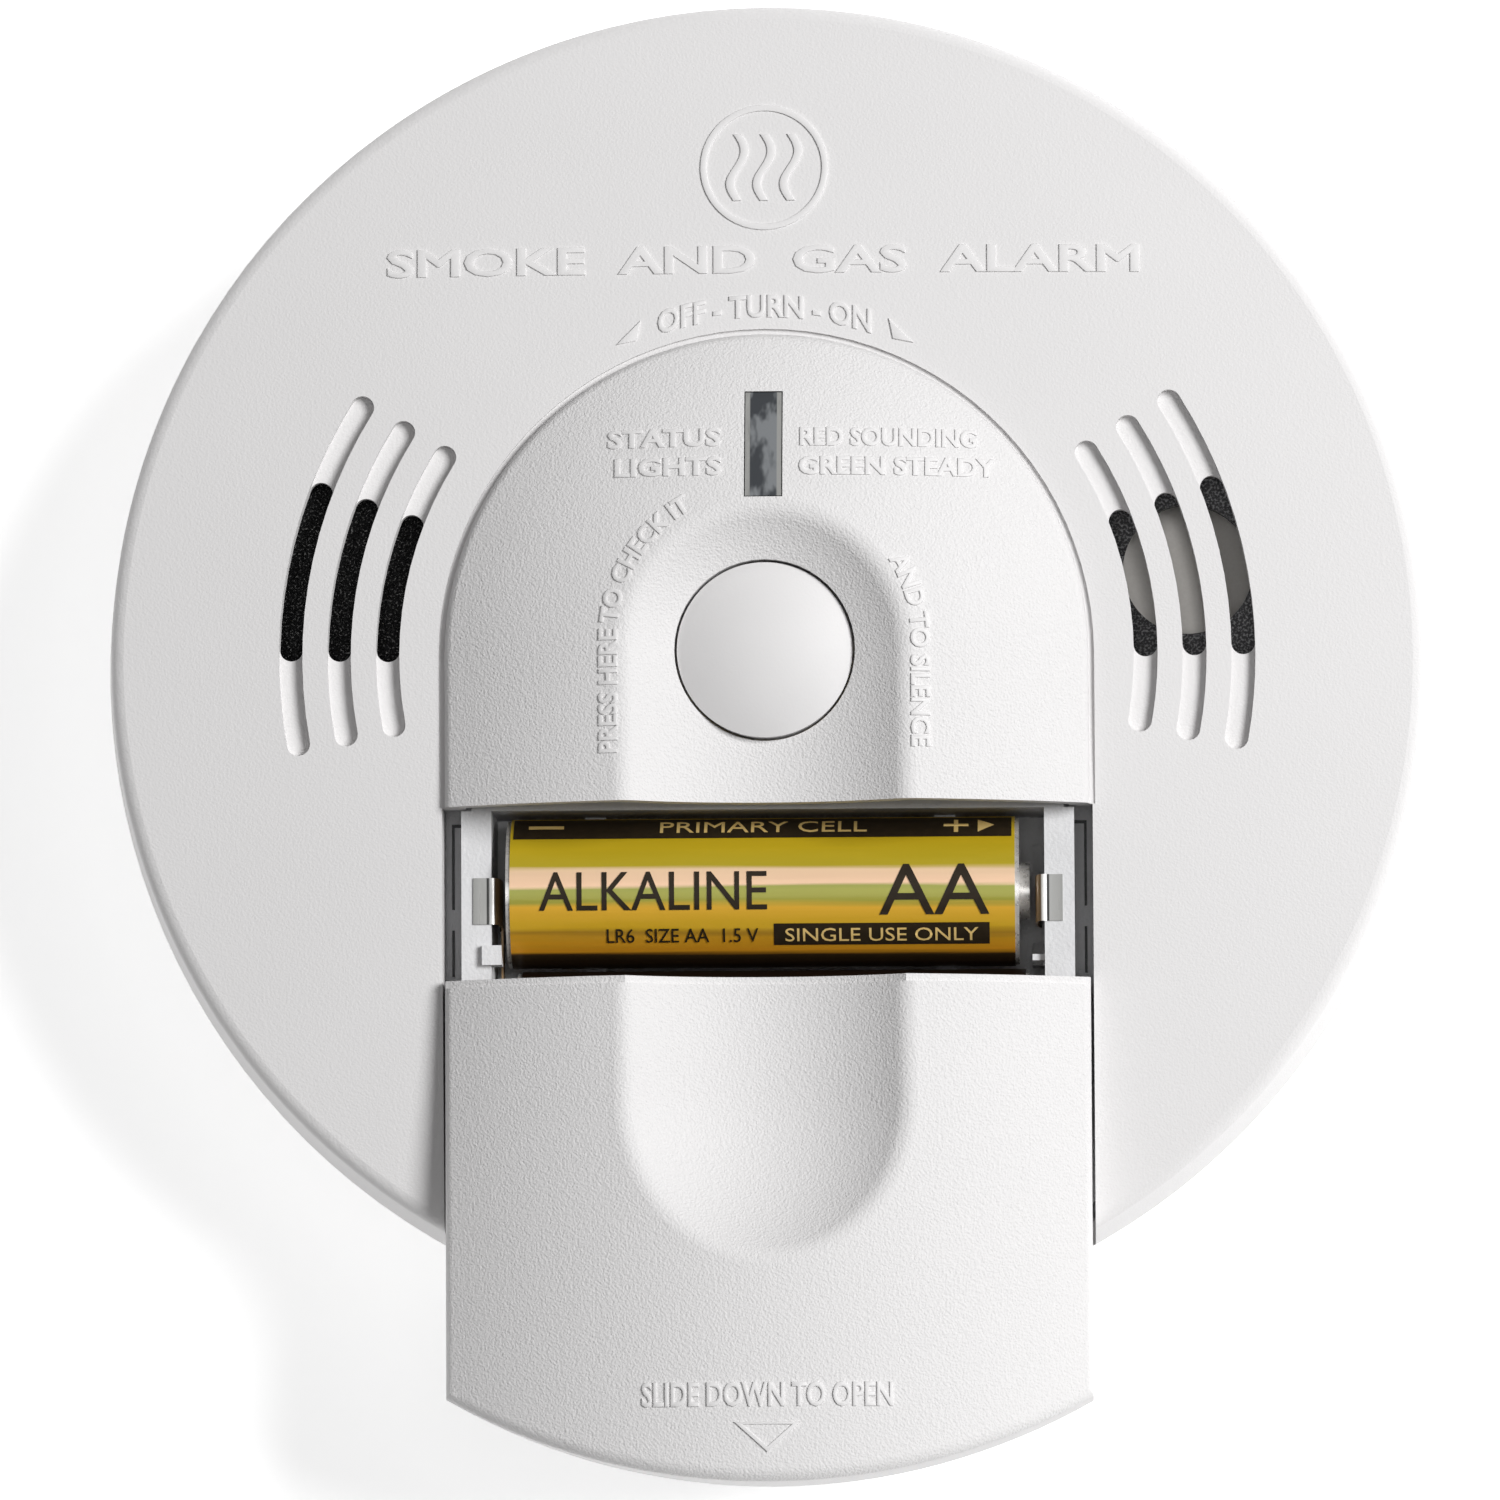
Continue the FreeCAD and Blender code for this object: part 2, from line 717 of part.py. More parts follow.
def cell(name, row, direction):
    """An AA cell along X, its nub towards +X or -X: the steel can and its printed sleeve."""
    half = "cell_length / 2"
    body_length = "cell_length - nub_length"
    can = rod(name + "_body", "can_radius", f"-({half}) * {direction}", body_length,
              row, "cell_height", direction)
    nub = rod(name + "_nub", "nub_radius", f"({half} - nub_length - 1) * {direction}",
              "nub_length + 1", row, "cell_height", direction)
    node(name + "_cell", fuse(name + "_steel", can, nub))
    outer = rod(name + "_wrap", "cell_radius", f"-({half} - 0.4) * {direction}",
                "cell_length - nub_length - 0.8", row, "cell_height", direction)
    core = rod(name + "_core", "can_radius", f"-({half} + 1) * {direction}", "cell_length + 2",
               row, "cell_height", direction)
    node(name + "_sleeve", cut(name + "_tube", outer, core))


def leaf(name, side, y_low, y_high):
    """A folded leaf contact: clipped over the tray's wall and bowed towards the cell."""
    back = "tray_inner - leaf_bow"
    front = f"{back} - leaf_sheet"
    bow = f"{front} - leaf_bow"
    top = "tray_top + leaf_sheet"
    upper = [(bow, "leaf_tip"), (f"{bow} + 0.3", "leaf_tip"), (back, "leaf_tip + leaf_bend"),
             (back, "tray_top"), ("tray_outer", "tray_top"), ("tray_outer", top), (front, top),
             (front, "leaf_tip + leaf_bend")]
    lower = [(bow, "leaf_tip"), (f"{bow} + 0.3", "leaf_tip"), (back, "leaf_tip - leaf_bend"),
             (back, "leaf_tip - leaf_reach"), (front, "leaf_tip - leaf_reach"),
             (front, "leaf_tip - leaf_bend")]
    if side < 0:
        upper = [(f"-({x})", z) for x, z in upper]
        lower = [(f"-({x})", z) for x, z in lower]
    return fuse(name, strip(name + "_top", upper, y_low, y_high),
                strip(name + "_foot", lower, y_low, y_high))


def contacts():
    front = "front_cell_row - leaf_shift"
    rear = "front_cell_row - cell_pitch"

    def leaf_at(name, side, row):
        return leaf(name, side, f"{row} - leaf_half", f"{row} + leaf_half")
    node("plus_contact", leaf_at("plus_leaf", 1, front))
    node("minus_contact", leaf_at("minus_leaf", 1, rear))
    link = box("bridge_link", "-(tray_inner - leaf_bow)", "-(tray_inner - leaf_bow - leaf_sheet)",
               f"{rear} + leaf_half", f"{front} - leaf_half", "link_low", "link_high")
    node("bridge_contact", fuse("bridge", leaf_at("bridge_front", -1, front),
                                leaf_at("bridge_rear", -1, rear), link))


# ---------------------------------------------------------------- test button

RUNS_PER_TURN = 14


def coil_spring():
    """A round wire wound on a helix, in short straight runs with mitred joints."""
    radius = SHEET.get("spring_radius")
    points = []
    for i in range(int(SHEET.get("spring_turns") * RUNS_PER_TURN) + 1):
        turns = i / RUNS_PER_TURN
        angle = 2 * math.pi * turns
        points.append(FreeCAD.Vector(radius * math.cos(angle), radius * math.sin(angle),
                                     SHEET.get("spring_pitch") * turns))
    path = Part.makePolygon(points)
    ring = Part.Wire(Part.makeCircle(SHEET.get("spring_wire"), points[0], points[1] - points[0]))
    pipe = Part.BRepOffsetAPI.MakePipeShell(path)
    pipe.setTransitionMode(1)
    pipe.add(ring)
    pipe.build()
    pipe.makeSolid()
    coil = DOC.addObject("Part::Feature", "spring_coil")
    coil.Shape = pipe.shape()
    move(coil, 0, 0, "spring_foot")
    return coil


def test_button():
    """A domed cap with a flange that holds it in the case, and a stem down to the switch."""
    under = "button_edge - button_thick"
    inner = "button_outer - button_skin"
    top = "button_edge + button_rise"
    cap = turned("button_cap", [
        (0, under), (inner, under), (inner, "flange_bottom"), ("button_flange", "flange_bottom"),
        ("button_flange", "flange_top"), ("button_outer", "flange_top"),
        ("button_outer", f"{top} + 1"), (0, f"{top} + 1")])
    dome_radius = "(button_outer^2 + button_rise^2) / (2 * button_rise)"
    dome = ball("button_dome", dome_radius, 0, 0, f"{top} - {dome_radius}")
    head = common("button_head", cap, dome)
    stem = cylinder("button_stem", "stem", "stem_foot", under)
    node("test_button", fuse("button", head, stem))
    node("button_spring", coil_spring())


def push_switch():
    shell = box("switch_shell", -3, 3, -3, 3, "board_high", "board_high + 3.3")
    pocket = cylinder("switch_pocket", 1.9, "board_high + 1.5", "board_high + 4")
    node("switch_body", cut("switch", shell, pocket))
    node("switch_plunger", cylinder("plunger", 1.6, "board_high + 3.1", "stem_foot"))


# ---------------------------------------------------------------- light window

def light_window():
    """A clear bar in the crown, held by a rim from below, with a guide down to two lamps."""
    low = "window_middle - window_length / 2 + window_play"
    high = "window_middle + window_length / 2 - window_play"
    half = "window_width / 2 - window_play"
    block = box("lens_block", f"-({half})", half, low, high, "window_seat + 1", "far_up")
    lens = common("lens", block, crown("lens_crown", "window_sink"))
    rim = box("lens_rim", f"-({half} + window_rim)", f"{half} + window_rim", f"{low} - window_rim",
              f"{high} + window_rim", "window_seat", "window_seat + window_rim_high")
    node("light_window", fuse("window", lens, rim))
    node("light_guide", box("guide_bar", "-guide_half", "guide_half", "window_middle - guide_reach",
                            "window_middle + guide_reach", "guide_foot", "window_seat"))
    for colour, offset in (("red", -2.5), ("green", 2.5)):
        row = f"window_middle + ({offset})"
        node(f"status_led_{colour}",
             box(f"led_{colour}", "-lamp_half", "lamp_half", f"{row} - guide_half",
                 f"{row} + guide_half", "board_high", "lamp_top"))


# ---------------------------------------------------------------- sounders

def horn():
    """The piezo sounder: a cup with a port, a gasket under its roof, a disc and two terminals."""
    roof = "horn_top - horn_roof"
    seat = f"{roof} - gasket_high"
    inner = "horn_outer - horn_wall"
    place = ("horn_across", "horn_up")
    node("horn_housing", turned("horn_cup", [
        ("horn_port", "horn_top"), ("horn_outer", "horn_top"), ("horn_outer", "horn_bottom"),
        (inner, "horn_bottom"), (inner, roof), ("horn_port", roof)], *place))
    node("horn_gasket", turned("horn_ring", [
        ("gasket_inner", seat), (f"{inner} - 0.1", seat), (f"{inner} - 0.1", roof),
        ("gasket_inner", roof)], *place))
    node("horn_disc", turned("horn_plate", [
        (0, f"{seat} - disc_sheet"), ("disc_radius", f"{seat} - disc_sheet"),
        ("disc_radius", seat), (0, seat)], *place))
    legs = [cylinder(f"horn_leg_{i}", "terminal_radius", "board_high", f"{seat} - disc_sheet",
                     f"horn_across + {sign} * terminal_reach", "horn_up")
            for i, sign in enumerate((-1, 1))]
    node("horn_terminals", group("horn_leg_pair", legs))


def speaker():
    """The voice speaker: a pressed basket on a magnet, a paper cone, and a foam pad over both."""
    place = ("speaker_across", "speaker_up")
    flange = "speaker_top - 2"
    node("speaker_frame", turned("speaker_basket", [
        ("magnet_radius - 1.2", "magnet_top"), ("magnet_radius", "magnet_top"),
        ("speaker_outer - 1.5", flange), ("speaker_outer", flange),
        ("speaker_outer", "speaker_top"), ("speaker_outer - 1.9", "speaker_top"),
        ("speaker_outer - 1.9", "speaker_top - 1.2"), ("speaker_outer - 2.3", "speaker_top - 1.2"),
        ("magnet_radius - 1.2", "magnet_top + 1.2")], *place))
    node("speaker_magnet", turned("speaker_pot", [
        (0, "board_high"), ("magnet_radius", "board_high"), ("magnet_radius", "magnet_top"),
        (0, "magnet_top")], *place))
    node("speaker_cone", turned("speaker_paper", [
        (0, 20.4), (3.0, 19.4), (11.9, 27.25), (12.5, 27.25), (12.5, 27.6), (11.7, 27.6),
        (3.0, 20.0), (0, 21.0)], *place))
    node("speaker_cloth", turned("speaker_foam", [
        (0, "cloth_low"), ("cloth_radius", "cloth_low"), ("cloth_radius", "cloth_high"),
        (0, "cloth_high")], *place))


# ---------------------------------------------------------------- smoke chamber

def labyrinth_vanes():
    """Slanted walls round the chamber: smoke drifts between them, and light can't."""
    vanes = []
    for i, angle in enumerate(around(14)):
        vane = DOC.addObject("Part::Box", f"vane_{i}")
        bind(vane, Length="vane_length", Width="vane_thick", Height="vane_high")
        turn(vane, Z_AXIS, angle + 50)
        inner = FreeCAD.Vector(SHEET.get("vane_circle"), -SHEET.get("vane_thick") / 2, 0)
        foot = FreeCAD.Rotation(Z_AXIS, angle).multVec(inner)
        move(vane, f"{foot.x:.5f}", f"chamber_up + ({foot.y:.5f})", "chamber_floor - 0.2")
        vanes.append(vane)
    return vanes


def smoke_chamber():
    place = (0, "chamber_up")
    base = turned("chamber_dish", [
        (0, "board_high"), ("chamber_radius", "board_high"), ("chamber_radius", "chamber_floor"),
        (0, "chamber_floor")], *place)
    node("chamber_base", fuse("chamber_labyrinth", base, *labyrinth_vanes()))
    outer = "chamber_radius - screen_inset"
    node("insect_screen", turned("screen_ring", [
        (f"{outer} - screen_sheet", "chamber_floor"), (outer, "chamber_floor"),
        (outer, "chamber_lid"), (f"{outer} - screen_sheet", "chamber_lid")], *place))
    bevel = "vane_thick"
    node("chamber_cap", turned("chamber_lid_plate", [
        (0, "chamber_lid"), ("chamber_radius", "chamber_lid"),
        ("chamber_radius", f"chamber_high - {bevel}"), (f"chamber_radius - {bevel}", "chamber_high"),
        (0, "chamber_high")], *place))
    node("infrared_led", cylinder("infrared_bulb", 2.0, "chamber_floor", "chamber_floor + 5",
                                  -5.2, "chamber_up - 3.2"))
    node("photodiode", box("photodiode_block", 3.2, 7.2, "chamber_up - 5", "chamber_up - 1.6",
                           "chamber_floor", "chamber_floor + 4.4"))


# ---------------------------------------------------------------- board and its parts

def board():
    disc = cylinder("board_disc", "board_radius", "board_low", "board_high")
    notches = []
    for i, angle in enumerate(around(4, 45)):
        x, y = on_circle("screw_circle", angle)
        notches.append(cylinder(f"board_notch_{i}", "boss_radius + 0.5", 0, "far_up", x, y))
    node("main_board", cut("board", disc, *notches))
    node("board_chips", group("chip_set", [
        box("chip_controller", -14, -4, -36, -26, "board_high", "board_high + 1.6"),
        box("chip_voice", 8, 16, -34, -28, "board_high", "board_high + 1.5"),
        box("chip_smoke", 20, 26, 26, 31, "board_high", "board_high + 1.4")]))
    node("board_capacitors", group("capacitor_set", [
        cylinder("capacitor_a", 4.0, "board_high", "board_high + 8", 4, -48),
        cylinder("capacitor_b", 3.2, "board_high", "board_high + 8", -7, -47),
        cylinder("capacitor_c", 3.2, "board_high", 22, 22, 38)]))
    chips = []
    for i in range(8):
        chips.append(box(f"resistor_{i}", -27 + 4 * i, -25 + 4 * i, -22, -20.8,
                         "board_high", "board_high + 0.6"))
    node("board_resistors", group("resistor_set", chips))
    node("gas_sensor", turned("gas_can", [
        (0, "board_high"), (8.0, "board_high"), (8.0, 25.0), (7.0, 26.0), (1.5, 26.0), (1.5, 25.2),
        (0, 25.2)], -42, -24))
    node("horn_coil", turned("coil_can", [
        (0, "board_high"), (5.0, "board_high"), (5.0, 20.0), (0, 20.0)], 42, -22))


# ---------------------------------------------------------------- back cover and bracket

def back_cover():
    """A shallow dish with a standing ring at the back and a lip that plugs into the case."""
    rim = "skirt_bottom - side_gap"
    lip = "skirt_radius - wall - side_gap"
    dish = turned("back_dish", [
        (0, "back_floor_low"), (56.6, "back_floor_low"), (55.4, "back_ring_low"),
        (57.4, "back_ring_low"), (59.8, "back_ring_low + 2"), ("skirt_radius - 0.2", rim),
        (lip, rim), (lip, "back_top"), (f"{lip} - back_lip_wall", "back_top"),
        (f"{lip} - back_lip_wall", "back_floor_high"), (0, "back_floor_high")])
    extras = []
    for i, angle in enumerate(around(4)):
        outer = sector(f"lug_outer_{i}", "lug_outer", angle - 6, 12, "lug_low", "lug_high")
        inner = cylinder(f"lug_inner_{i}", "lug_inner", "far_down", "far_up")
        extras.append(cut(f"lug_{i}", outer, inner))
    holes = []
    for i, angle in enumerate(around(4, 45)):
        x, y = on_circle("screw_circle", angle)
        extras.append(cylinder(f"back_post_{i}", "boss_radius", "back_floor_low", "boss_seam", x, y))
        holes.append(cylinder(f"back_hole_{i}", "screw_shank + 0.15", 0, "far_up", x, y))
        holes.append(cylinder(f"back_recess_{i}", "screw_head + 0.4", "far_down",
                              "back_floor_low", x, y))
    rests = []
    for i, angle in enumerate(around(4)):
        x, y = on_circle("rest_circle", angle)
        rests.append(cylinder(f"board_rest_{i}", "rest_radius", "back_floor_high", "board_low", x, y))
    node("back_cover", cut("back", fuse("back_block", dish, *extras, *rests), *holes))


def case_screws():
    screws = []
    for i, angle in enumerate(around(4, 45)):
        x, y = on_circle("screw_circle", angle)
        seat = "back_floor_low - screw_head_high"
        shank = cylinder(f"screw_shank_{i}", "screw_shank", "back_floor_low", "screw_tip", x, y)
        head = cylinder(f"screw_head_{i}", "screw_head", seat, "back_floor_low", x, y)
        cross = box(f"screw_drive_{i}", f"{x} - 1.6", f"{x} + 1.6", f"{y} - 0.4", f"{y} + 0.4",
                    f"{seat} - 0.1", f"{seat} + 0.8")
        screws.append(cut(f"screw_{i}", fuse(f"screw_solid_{i}", shank, head), cross))
    node("case_screws", group("screw_set", screws))


def ring_piece(name, outer, start, sweep, bottom):
    """A piece of a ring that stands on the bracket, from the hooks' inner circle outwards."""
    return cut(name, sector(name + "_outer", outer, start, sweep, bottom, "hook_high"),
               cylinder(name + "_inner", "hook_inner", "far_down", "far_up"))


def mounting_bracket():
    """A plate for two wall screws, with four hooks that the alarm's lugs twist under."""
    base = cylinder("bracket_disc", "bracket_radius", 0, "bracket_plate")
    foot = "bracket_plate - 0.2"
    hooks = []
    for i, angle in enumerate(around(4)):
        hooks.append(ring_piece(f"hook_post_{i}", "hook_outer", angle - 6.5, 13, foot))
        hooks.append(ring_piece(f"hook_lip_{i}", "hook_lip", angle - 6.5, 13, "lip_low"))
        hooks.append(ring_piece(f"hook_stop_{i}", "hook_lip", angle - 8.5, 2, foot))
    slots = []
    for i, sign in enumerate((-1, 1)):
        near = f"{sign} * slot_spacing / 2 - (slot_length / 2 - slot_half)"
        far = f"{sign} * slot_spacing / 2 + (slot_length / 2 - slot_half)"
        slots.append(box(f"slot_run_{i}", near, far, "-slot_half", "slot_half", "far_down", "far_up"))
        slots.append(cylinder(f"slot_near_{i}", "slot_half", "far_down", "far_up", near))
        slots.append(cylinder(f"slot_far_{i}", "slot_half", "far_down", "far_up", far))
    node("mounting_bracket", cut("bracket", fuse("bracket_block", base, *hooks), *slots))


# ---------------------------------------------------------------- build and write

def check_document():
    bad = [o.Name for o in DOC.Objects if "Invalid" in o.State or "Error" in o.State]
    if bad:
        raise RuntimeError("failed objects: " + ", ".join(bad))
    for name, feature in NODES:
        shape = feature.Shape
        if shape.isNull() or not shape.isValid() or not shape.Solids:
            raise RuntimeError("bad shape: " + name)


def write_parts():
    os.makedirs("parts", exist_ok=True)
    for name, feature in NODES:
        feature.Shape.exportStep(os.path.join("parts", name + ".step"))
        low = feature.Shape.BoundBox
        print(f"{name:20s} solids {len(feature.Shape.Solids):2d} volume {feature.Shape.Volume:9.1f}"
              f"  x {low.XMin:6.1f} {low.XMax:6.1f}  y {low.YMin:6.1f} {low.YMax:6.1f}"
              f"  z {low.ZMin:5.1f} {low.ZMax:5.1f}")


fill_sheet()
mounting_bracket()
back_cover()
case_screws()
board()
smoke_chamber()
horn()
speaker()
light_window()
push_switch()
test_button()
cell("front", "front_cell_row", 1)
cell("rear", "front_cell_row - cell_pitch", -1)
contacts()
battery_tray()
battery_door()
front_cover()
DOC.recompute()
check_document()
write_parts()
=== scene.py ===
# %% [markdown]
# # A smoke and gas alarm with its battery door half open
#
# The real object is a round white case that hangs on a ceiling. A raised arch runs down its
# middle, with a light window, a push button and a finger groove. The lower half of the arch is a
# door that slides down to show two AA cells. The frame holds every working piece at its true
# size. This file gives those pieces their finishes, and adds what is moulded, printed or bent
# too finely for the frame: raised marks, printed cells, folded contacts and dark seams.

# %% Open the frame
import json
import math

import bmesh
import bpy
from mathutils import Matrix, Vector
from mathutils.bvhtree import BVHTree


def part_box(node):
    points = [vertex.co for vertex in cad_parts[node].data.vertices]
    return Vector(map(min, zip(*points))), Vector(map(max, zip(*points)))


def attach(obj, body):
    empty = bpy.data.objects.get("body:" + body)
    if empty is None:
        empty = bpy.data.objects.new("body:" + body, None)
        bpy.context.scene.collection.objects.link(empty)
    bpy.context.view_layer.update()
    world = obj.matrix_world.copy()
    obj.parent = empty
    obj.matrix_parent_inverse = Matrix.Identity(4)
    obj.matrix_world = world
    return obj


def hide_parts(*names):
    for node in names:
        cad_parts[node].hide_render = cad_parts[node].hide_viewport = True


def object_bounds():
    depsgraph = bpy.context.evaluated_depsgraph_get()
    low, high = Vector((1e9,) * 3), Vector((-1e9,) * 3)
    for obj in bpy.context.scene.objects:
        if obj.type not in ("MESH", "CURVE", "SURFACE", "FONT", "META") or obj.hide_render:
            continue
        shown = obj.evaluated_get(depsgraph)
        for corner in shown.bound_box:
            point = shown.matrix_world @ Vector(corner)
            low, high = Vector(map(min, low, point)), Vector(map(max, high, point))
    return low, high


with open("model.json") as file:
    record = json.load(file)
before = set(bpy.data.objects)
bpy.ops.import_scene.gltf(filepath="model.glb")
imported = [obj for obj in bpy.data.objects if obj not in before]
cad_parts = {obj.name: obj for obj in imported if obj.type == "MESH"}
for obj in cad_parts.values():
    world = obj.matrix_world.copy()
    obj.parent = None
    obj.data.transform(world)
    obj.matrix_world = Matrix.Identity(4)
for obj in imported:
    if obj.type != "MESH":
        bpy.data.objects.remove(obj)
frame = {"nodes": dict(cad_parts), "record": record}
cad_box = [list(corner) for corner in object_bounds()]
MM = 0.001

# %% [markdown]
# ## Places to build from
#
# Every place in this file is read from the frame. A node's box gives its middle and its faces,
# and a ray dropped on a node gives the height of a curved surface under any point, which is how
# a raised letter can follow a domed case without knowing the dome's formula.


# %% Read places off the frame
def middle(node):
    low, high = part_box(node)
    return (low + high) / 2


def size_of(node):
    low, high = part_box(node)
    return high - low


def tree_of(node):
    """A search tree of a node's faces, for dropping points on it."""
    mesh = frame["nodes"][node].data
    return BVHTree.FromPolygons([v.co for v in mesh.vertices], [p.vertices for p in mesh.polygons])


def height_on(tree, x, y):
    """How high the surface stands under a point, seen from above."""
    hit = tree.ray_cast(Vector((x, y, 1.0)), Vector((0, 0, -1)))[0]
    return hit.z


# %% [markdown]
# The arch and the door are equally wide, so half the door's width is the arch's radius. The
# button gives the groove's middle, and the cell's film gives the line that its printing rolls
# round.

# %% Name the places
cover_tree = tree_of("front_cover")
door_tree = tree_of("battery_door")
arch_radius = size_of("battery_door").x / 2
door_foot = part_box("battery_door")[0].y
button_place = middle("test_button")
button_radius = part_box("test_button")[1].x
window_place = middle("light_window")
can_place = middle("front_cell")
film_place = middle("front_sleeve")
film_radius = size_of("front_sleeve").z / 2
contact_low, contact_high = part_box("plus_contact")
print("arch radius:", round(arch_radius / MM, 1), "mm")
print("film radius:", round(film_radius / MM, 2), "mm")

# %% [markdown]
# ## Writing shader maths as Python
#
# A moulded or printed surface is a small sum: coordinates go in, a colour or a bump comes out.
# The nodes can be wired by hand, but a line such as `1 - mask * 0.3` is easier to read. A small
# class wraps an output and gives it Python's operators.


# %% A socket that sums can be written on
class Wire:
    """A node's output with Python's operators."""

    def __init__(self, finish, socket):
        self.finish = finish
        self.socket = socket

    def __add__(self, other):
        return self.finish.maths("ADD", self, other)

    def __sub__(self, other):
        return self.finish.maths("SUBTRACT", self, other)

    def __rsub__(self, other):
        return self.finish.maths("SUBTRACT", other, self)

    def __mul__(self, other):
        return self.finish.maths("MULTIPLY", self, other)

    def __truediv__(self, other):
        return self.finish.maths("DIVIDE", self, other)

    def __rtruediv__(self, other):
        return self.finish.maths("DIVIDE", other, self)

    __radd__ = __add__
    __rmul__ = __mul__


# %% [markdown]
# ## Making a finish
#
# A finish is a material whose constants sit on the shader's own sockets, and whose varying values
# are fed to it. One method, `node`, makes every node: it sets the node's settings first, such as
# an operation or a ramp's stops, because they decide which sockets there are, and then joins
# each value or wire to its socket. The other methods are short names for the nodes used most.

# %% The finish maker
CONSTANTS = {
    "metallic": "Metallic", "specular": "Specular IOR Level", "ior": "IOR",
    "coat": "Coat Weight", "coat_roughness": "Coat Roughness", "clear": "Transmission Weight",
    "glow": "Emission Strength",
}


class Finish:
    """A material: constants go on its shader's sockets, and sums feed the rest."""

    def __init__(self, name, roughness, **constants):
        self.material = bpy.data.materials.new(name)
        self.material.use_nodes = True
        self.tree = self.material.node_tree
        self.shader = self.tree.nodes["Principled BSDF"]
        self.shader.inputs["Roughness"].default_value = roughness
        for word, value in constants.items():
            self.shader.inputs[CONSTANTS[word]].default_value = value

    def node(self, kind, settings=None, inputs=None, output=0):
        """Make a node: its settings first, then the values or wires of its sockets."""
        made = self.tree.nodes.new(kind)
        for name, value in (settings or {}).items():
            if name == "stops":
                self.set_stops(made.color_ramp, value)
            else:
                setattr(made, name, value)
        for name, value in (inputs or {}).items():
            self.join(value, made.inputs[name])
        return Wire(self, made.outputs[output])

    def set_stops(self, ramp, stops):
        while len(ramp.elements) < len(stops):
            ramp.elements.new(1.0)
        for element, (position, colour) in zip(ramp.elements, stops):
            element.position = position
            element.color = (*colour, 1)

    def join(self, value, socket):
        if isinstance(value, Wire):
            self.tree.links.new(value.socket, socket)
        elif isinstance(value, tuple) and socket.type == "RGBA":
            socket.default_value = (*value, 1)
        else:
            socket.default_value = value

    def feed(self, name, value):
        self.join(value, self.shader.inputs[name])
        return self

    def maths(self, operation, first, second=0.0):
        return self.node("ShaderNodeMath", {"operation": operation}, {0: first, 1: second})

    def place(self):
        """The point on the surface, in metres, as one vector."""
        return self.node("ShaderNodeTexCoord", output="Object")

    def axes(self):
        """The point's X, Y and Z as three wires."""
        split = self.node("ShaderNodeSeparateXYZ", None, {0: self.place()})
        outputs = split.socket.node.outputs
        return [Wire(self, outputs[i]) for i in range(3)]

    def noise(self, grain, detail=2.0, place=None):
        """Noise whose spots are about one grain across, from 0 to 1."""
        inputs = {"Vector": place or self.place(), "Scale": 1.0 / grain, "Detail": detail}
        return self.node("ShaderNodeTexNoise", None, inputs)

    def drawn(self, stretch, grain):
        """Noise pulled out along one axis, as rolling or brushing leaves it."""
        pulled = self.node("ShaderNodeMapping", None, {"Vector": self.place(), "Scale": stretch})
        return self.noise(grain, 3.0, pulled)

    def ramp(self, factor, stops):
        """Colours that change along a line, at these positions from 0 to 1."""
        return self.node("ShaderNodeValToRGB", {"stops": stops}, {"Fac": factor})

    def mix(self, factor, first, second):
        """Blend two colours."""
        return self.node("ShaderNodeMix", {"data_type": "RGBA"},
                         {"Factor": factor, 6: first, 7: second}, output=2)

    def step(self, value, low, high):
        """0 below low, 1 above high, and a smooth ramp between them."""
        return self.node("ShaderNodeMapRange", {"interpolation_type": "SMOOTHSTEP"},
                         {"Value": value, "From Min": low, "From Max": high})

    def bump(self, height, depth):
        """Feed the shader's normal from a height that spans 0 to 1 over this depth."""
        normal = self.node("ShaderNodeBump", None, {"Height": height, "Distance": depth})
        return self.feed("Normal", normal)


# %% [markdown]
# A decorator runs each finish once and files its material under the function's name, which is
# the name of the slot that the frame's record gives to its nodes.

# %% The shelf of finishes
FINISHES = {}


def finish(make):
    """Make a finish once and keep it under its function's name."""
    made = make()
    FINISHES[make.__name__] = made.material
    print("finish:", make.__name__)
    return made


# %% [markdown]
# ## The white case
#
# The case is moulded in an off-white plastic. The tool was spark-eroded, so the skin is a fine
# random grain, coarser on the arch and the door than on the round face. Grain on this scale is
# far too small to model, so it is noise that tips the normal: two sizes of it, and the face gets
# less than the arch. The arch begins where the case rises above the face, so height is the mask.
# Matt plastic shines little, and its specular level is low for that reason.


# %% White moulded plastic
def spark_grain(paint, amount):
    """Fine random pits, as spark erosion leaves them."""
    fine = paint.noise(0.24 * MM, 1.0)
    broad = paint.noise(0.45 * MM, 1.0)
    return (fine * 0.75 + broad * 0.25) * amount


ARCH_FOOT = 37.2 * MM
ARCH_BLEND = 0.4 * MM
FACE_GRAIN = 0.35


@finish
def case_white():
    paint = Finish("case_white", 0.5, specular=0.12)
    height = paint.axes()[2]
    on_arch = paint.step(height, ARCH_FOOT, ARCH_FOOT + ARCH_BLEND)
    cloud = paint.noise(18 * MM)
    paint.feed("Base Color", paint.mix(cloud, (0.70, 0.69, 0.69), (0.725, 0.715, 0.715)))
    paint.feed("Roughness", cloud * 0.08 + 0.46)
    amount = on_arch * (1 - FACE_GRAIN) + FACE_GRAIN
    return paint.bump(spark_grain(paint, amount), 0.13 * MM)


# %% [markdown]
# Raised marks come from smooth pockets cut into the same tool, so they have no grain and are a
# little glossier. The button is a separate moulding with a nearly smooth skin. The tray is the
# same plastic in a pale grey.


# %% Marks, button and tray
@finish
def mark_white():
    paint = Finish("mark_white", 0.42, specular=0.15)
    paint.feed("Base Color", (0.725, 0.715, 0.715))
    paint.feed("Roughness", paint.noise(0.8 * MM) * 0.1 + 0.36)
    return paint.bump(paint.noise(0.3 * MM), 0.02 * MM)


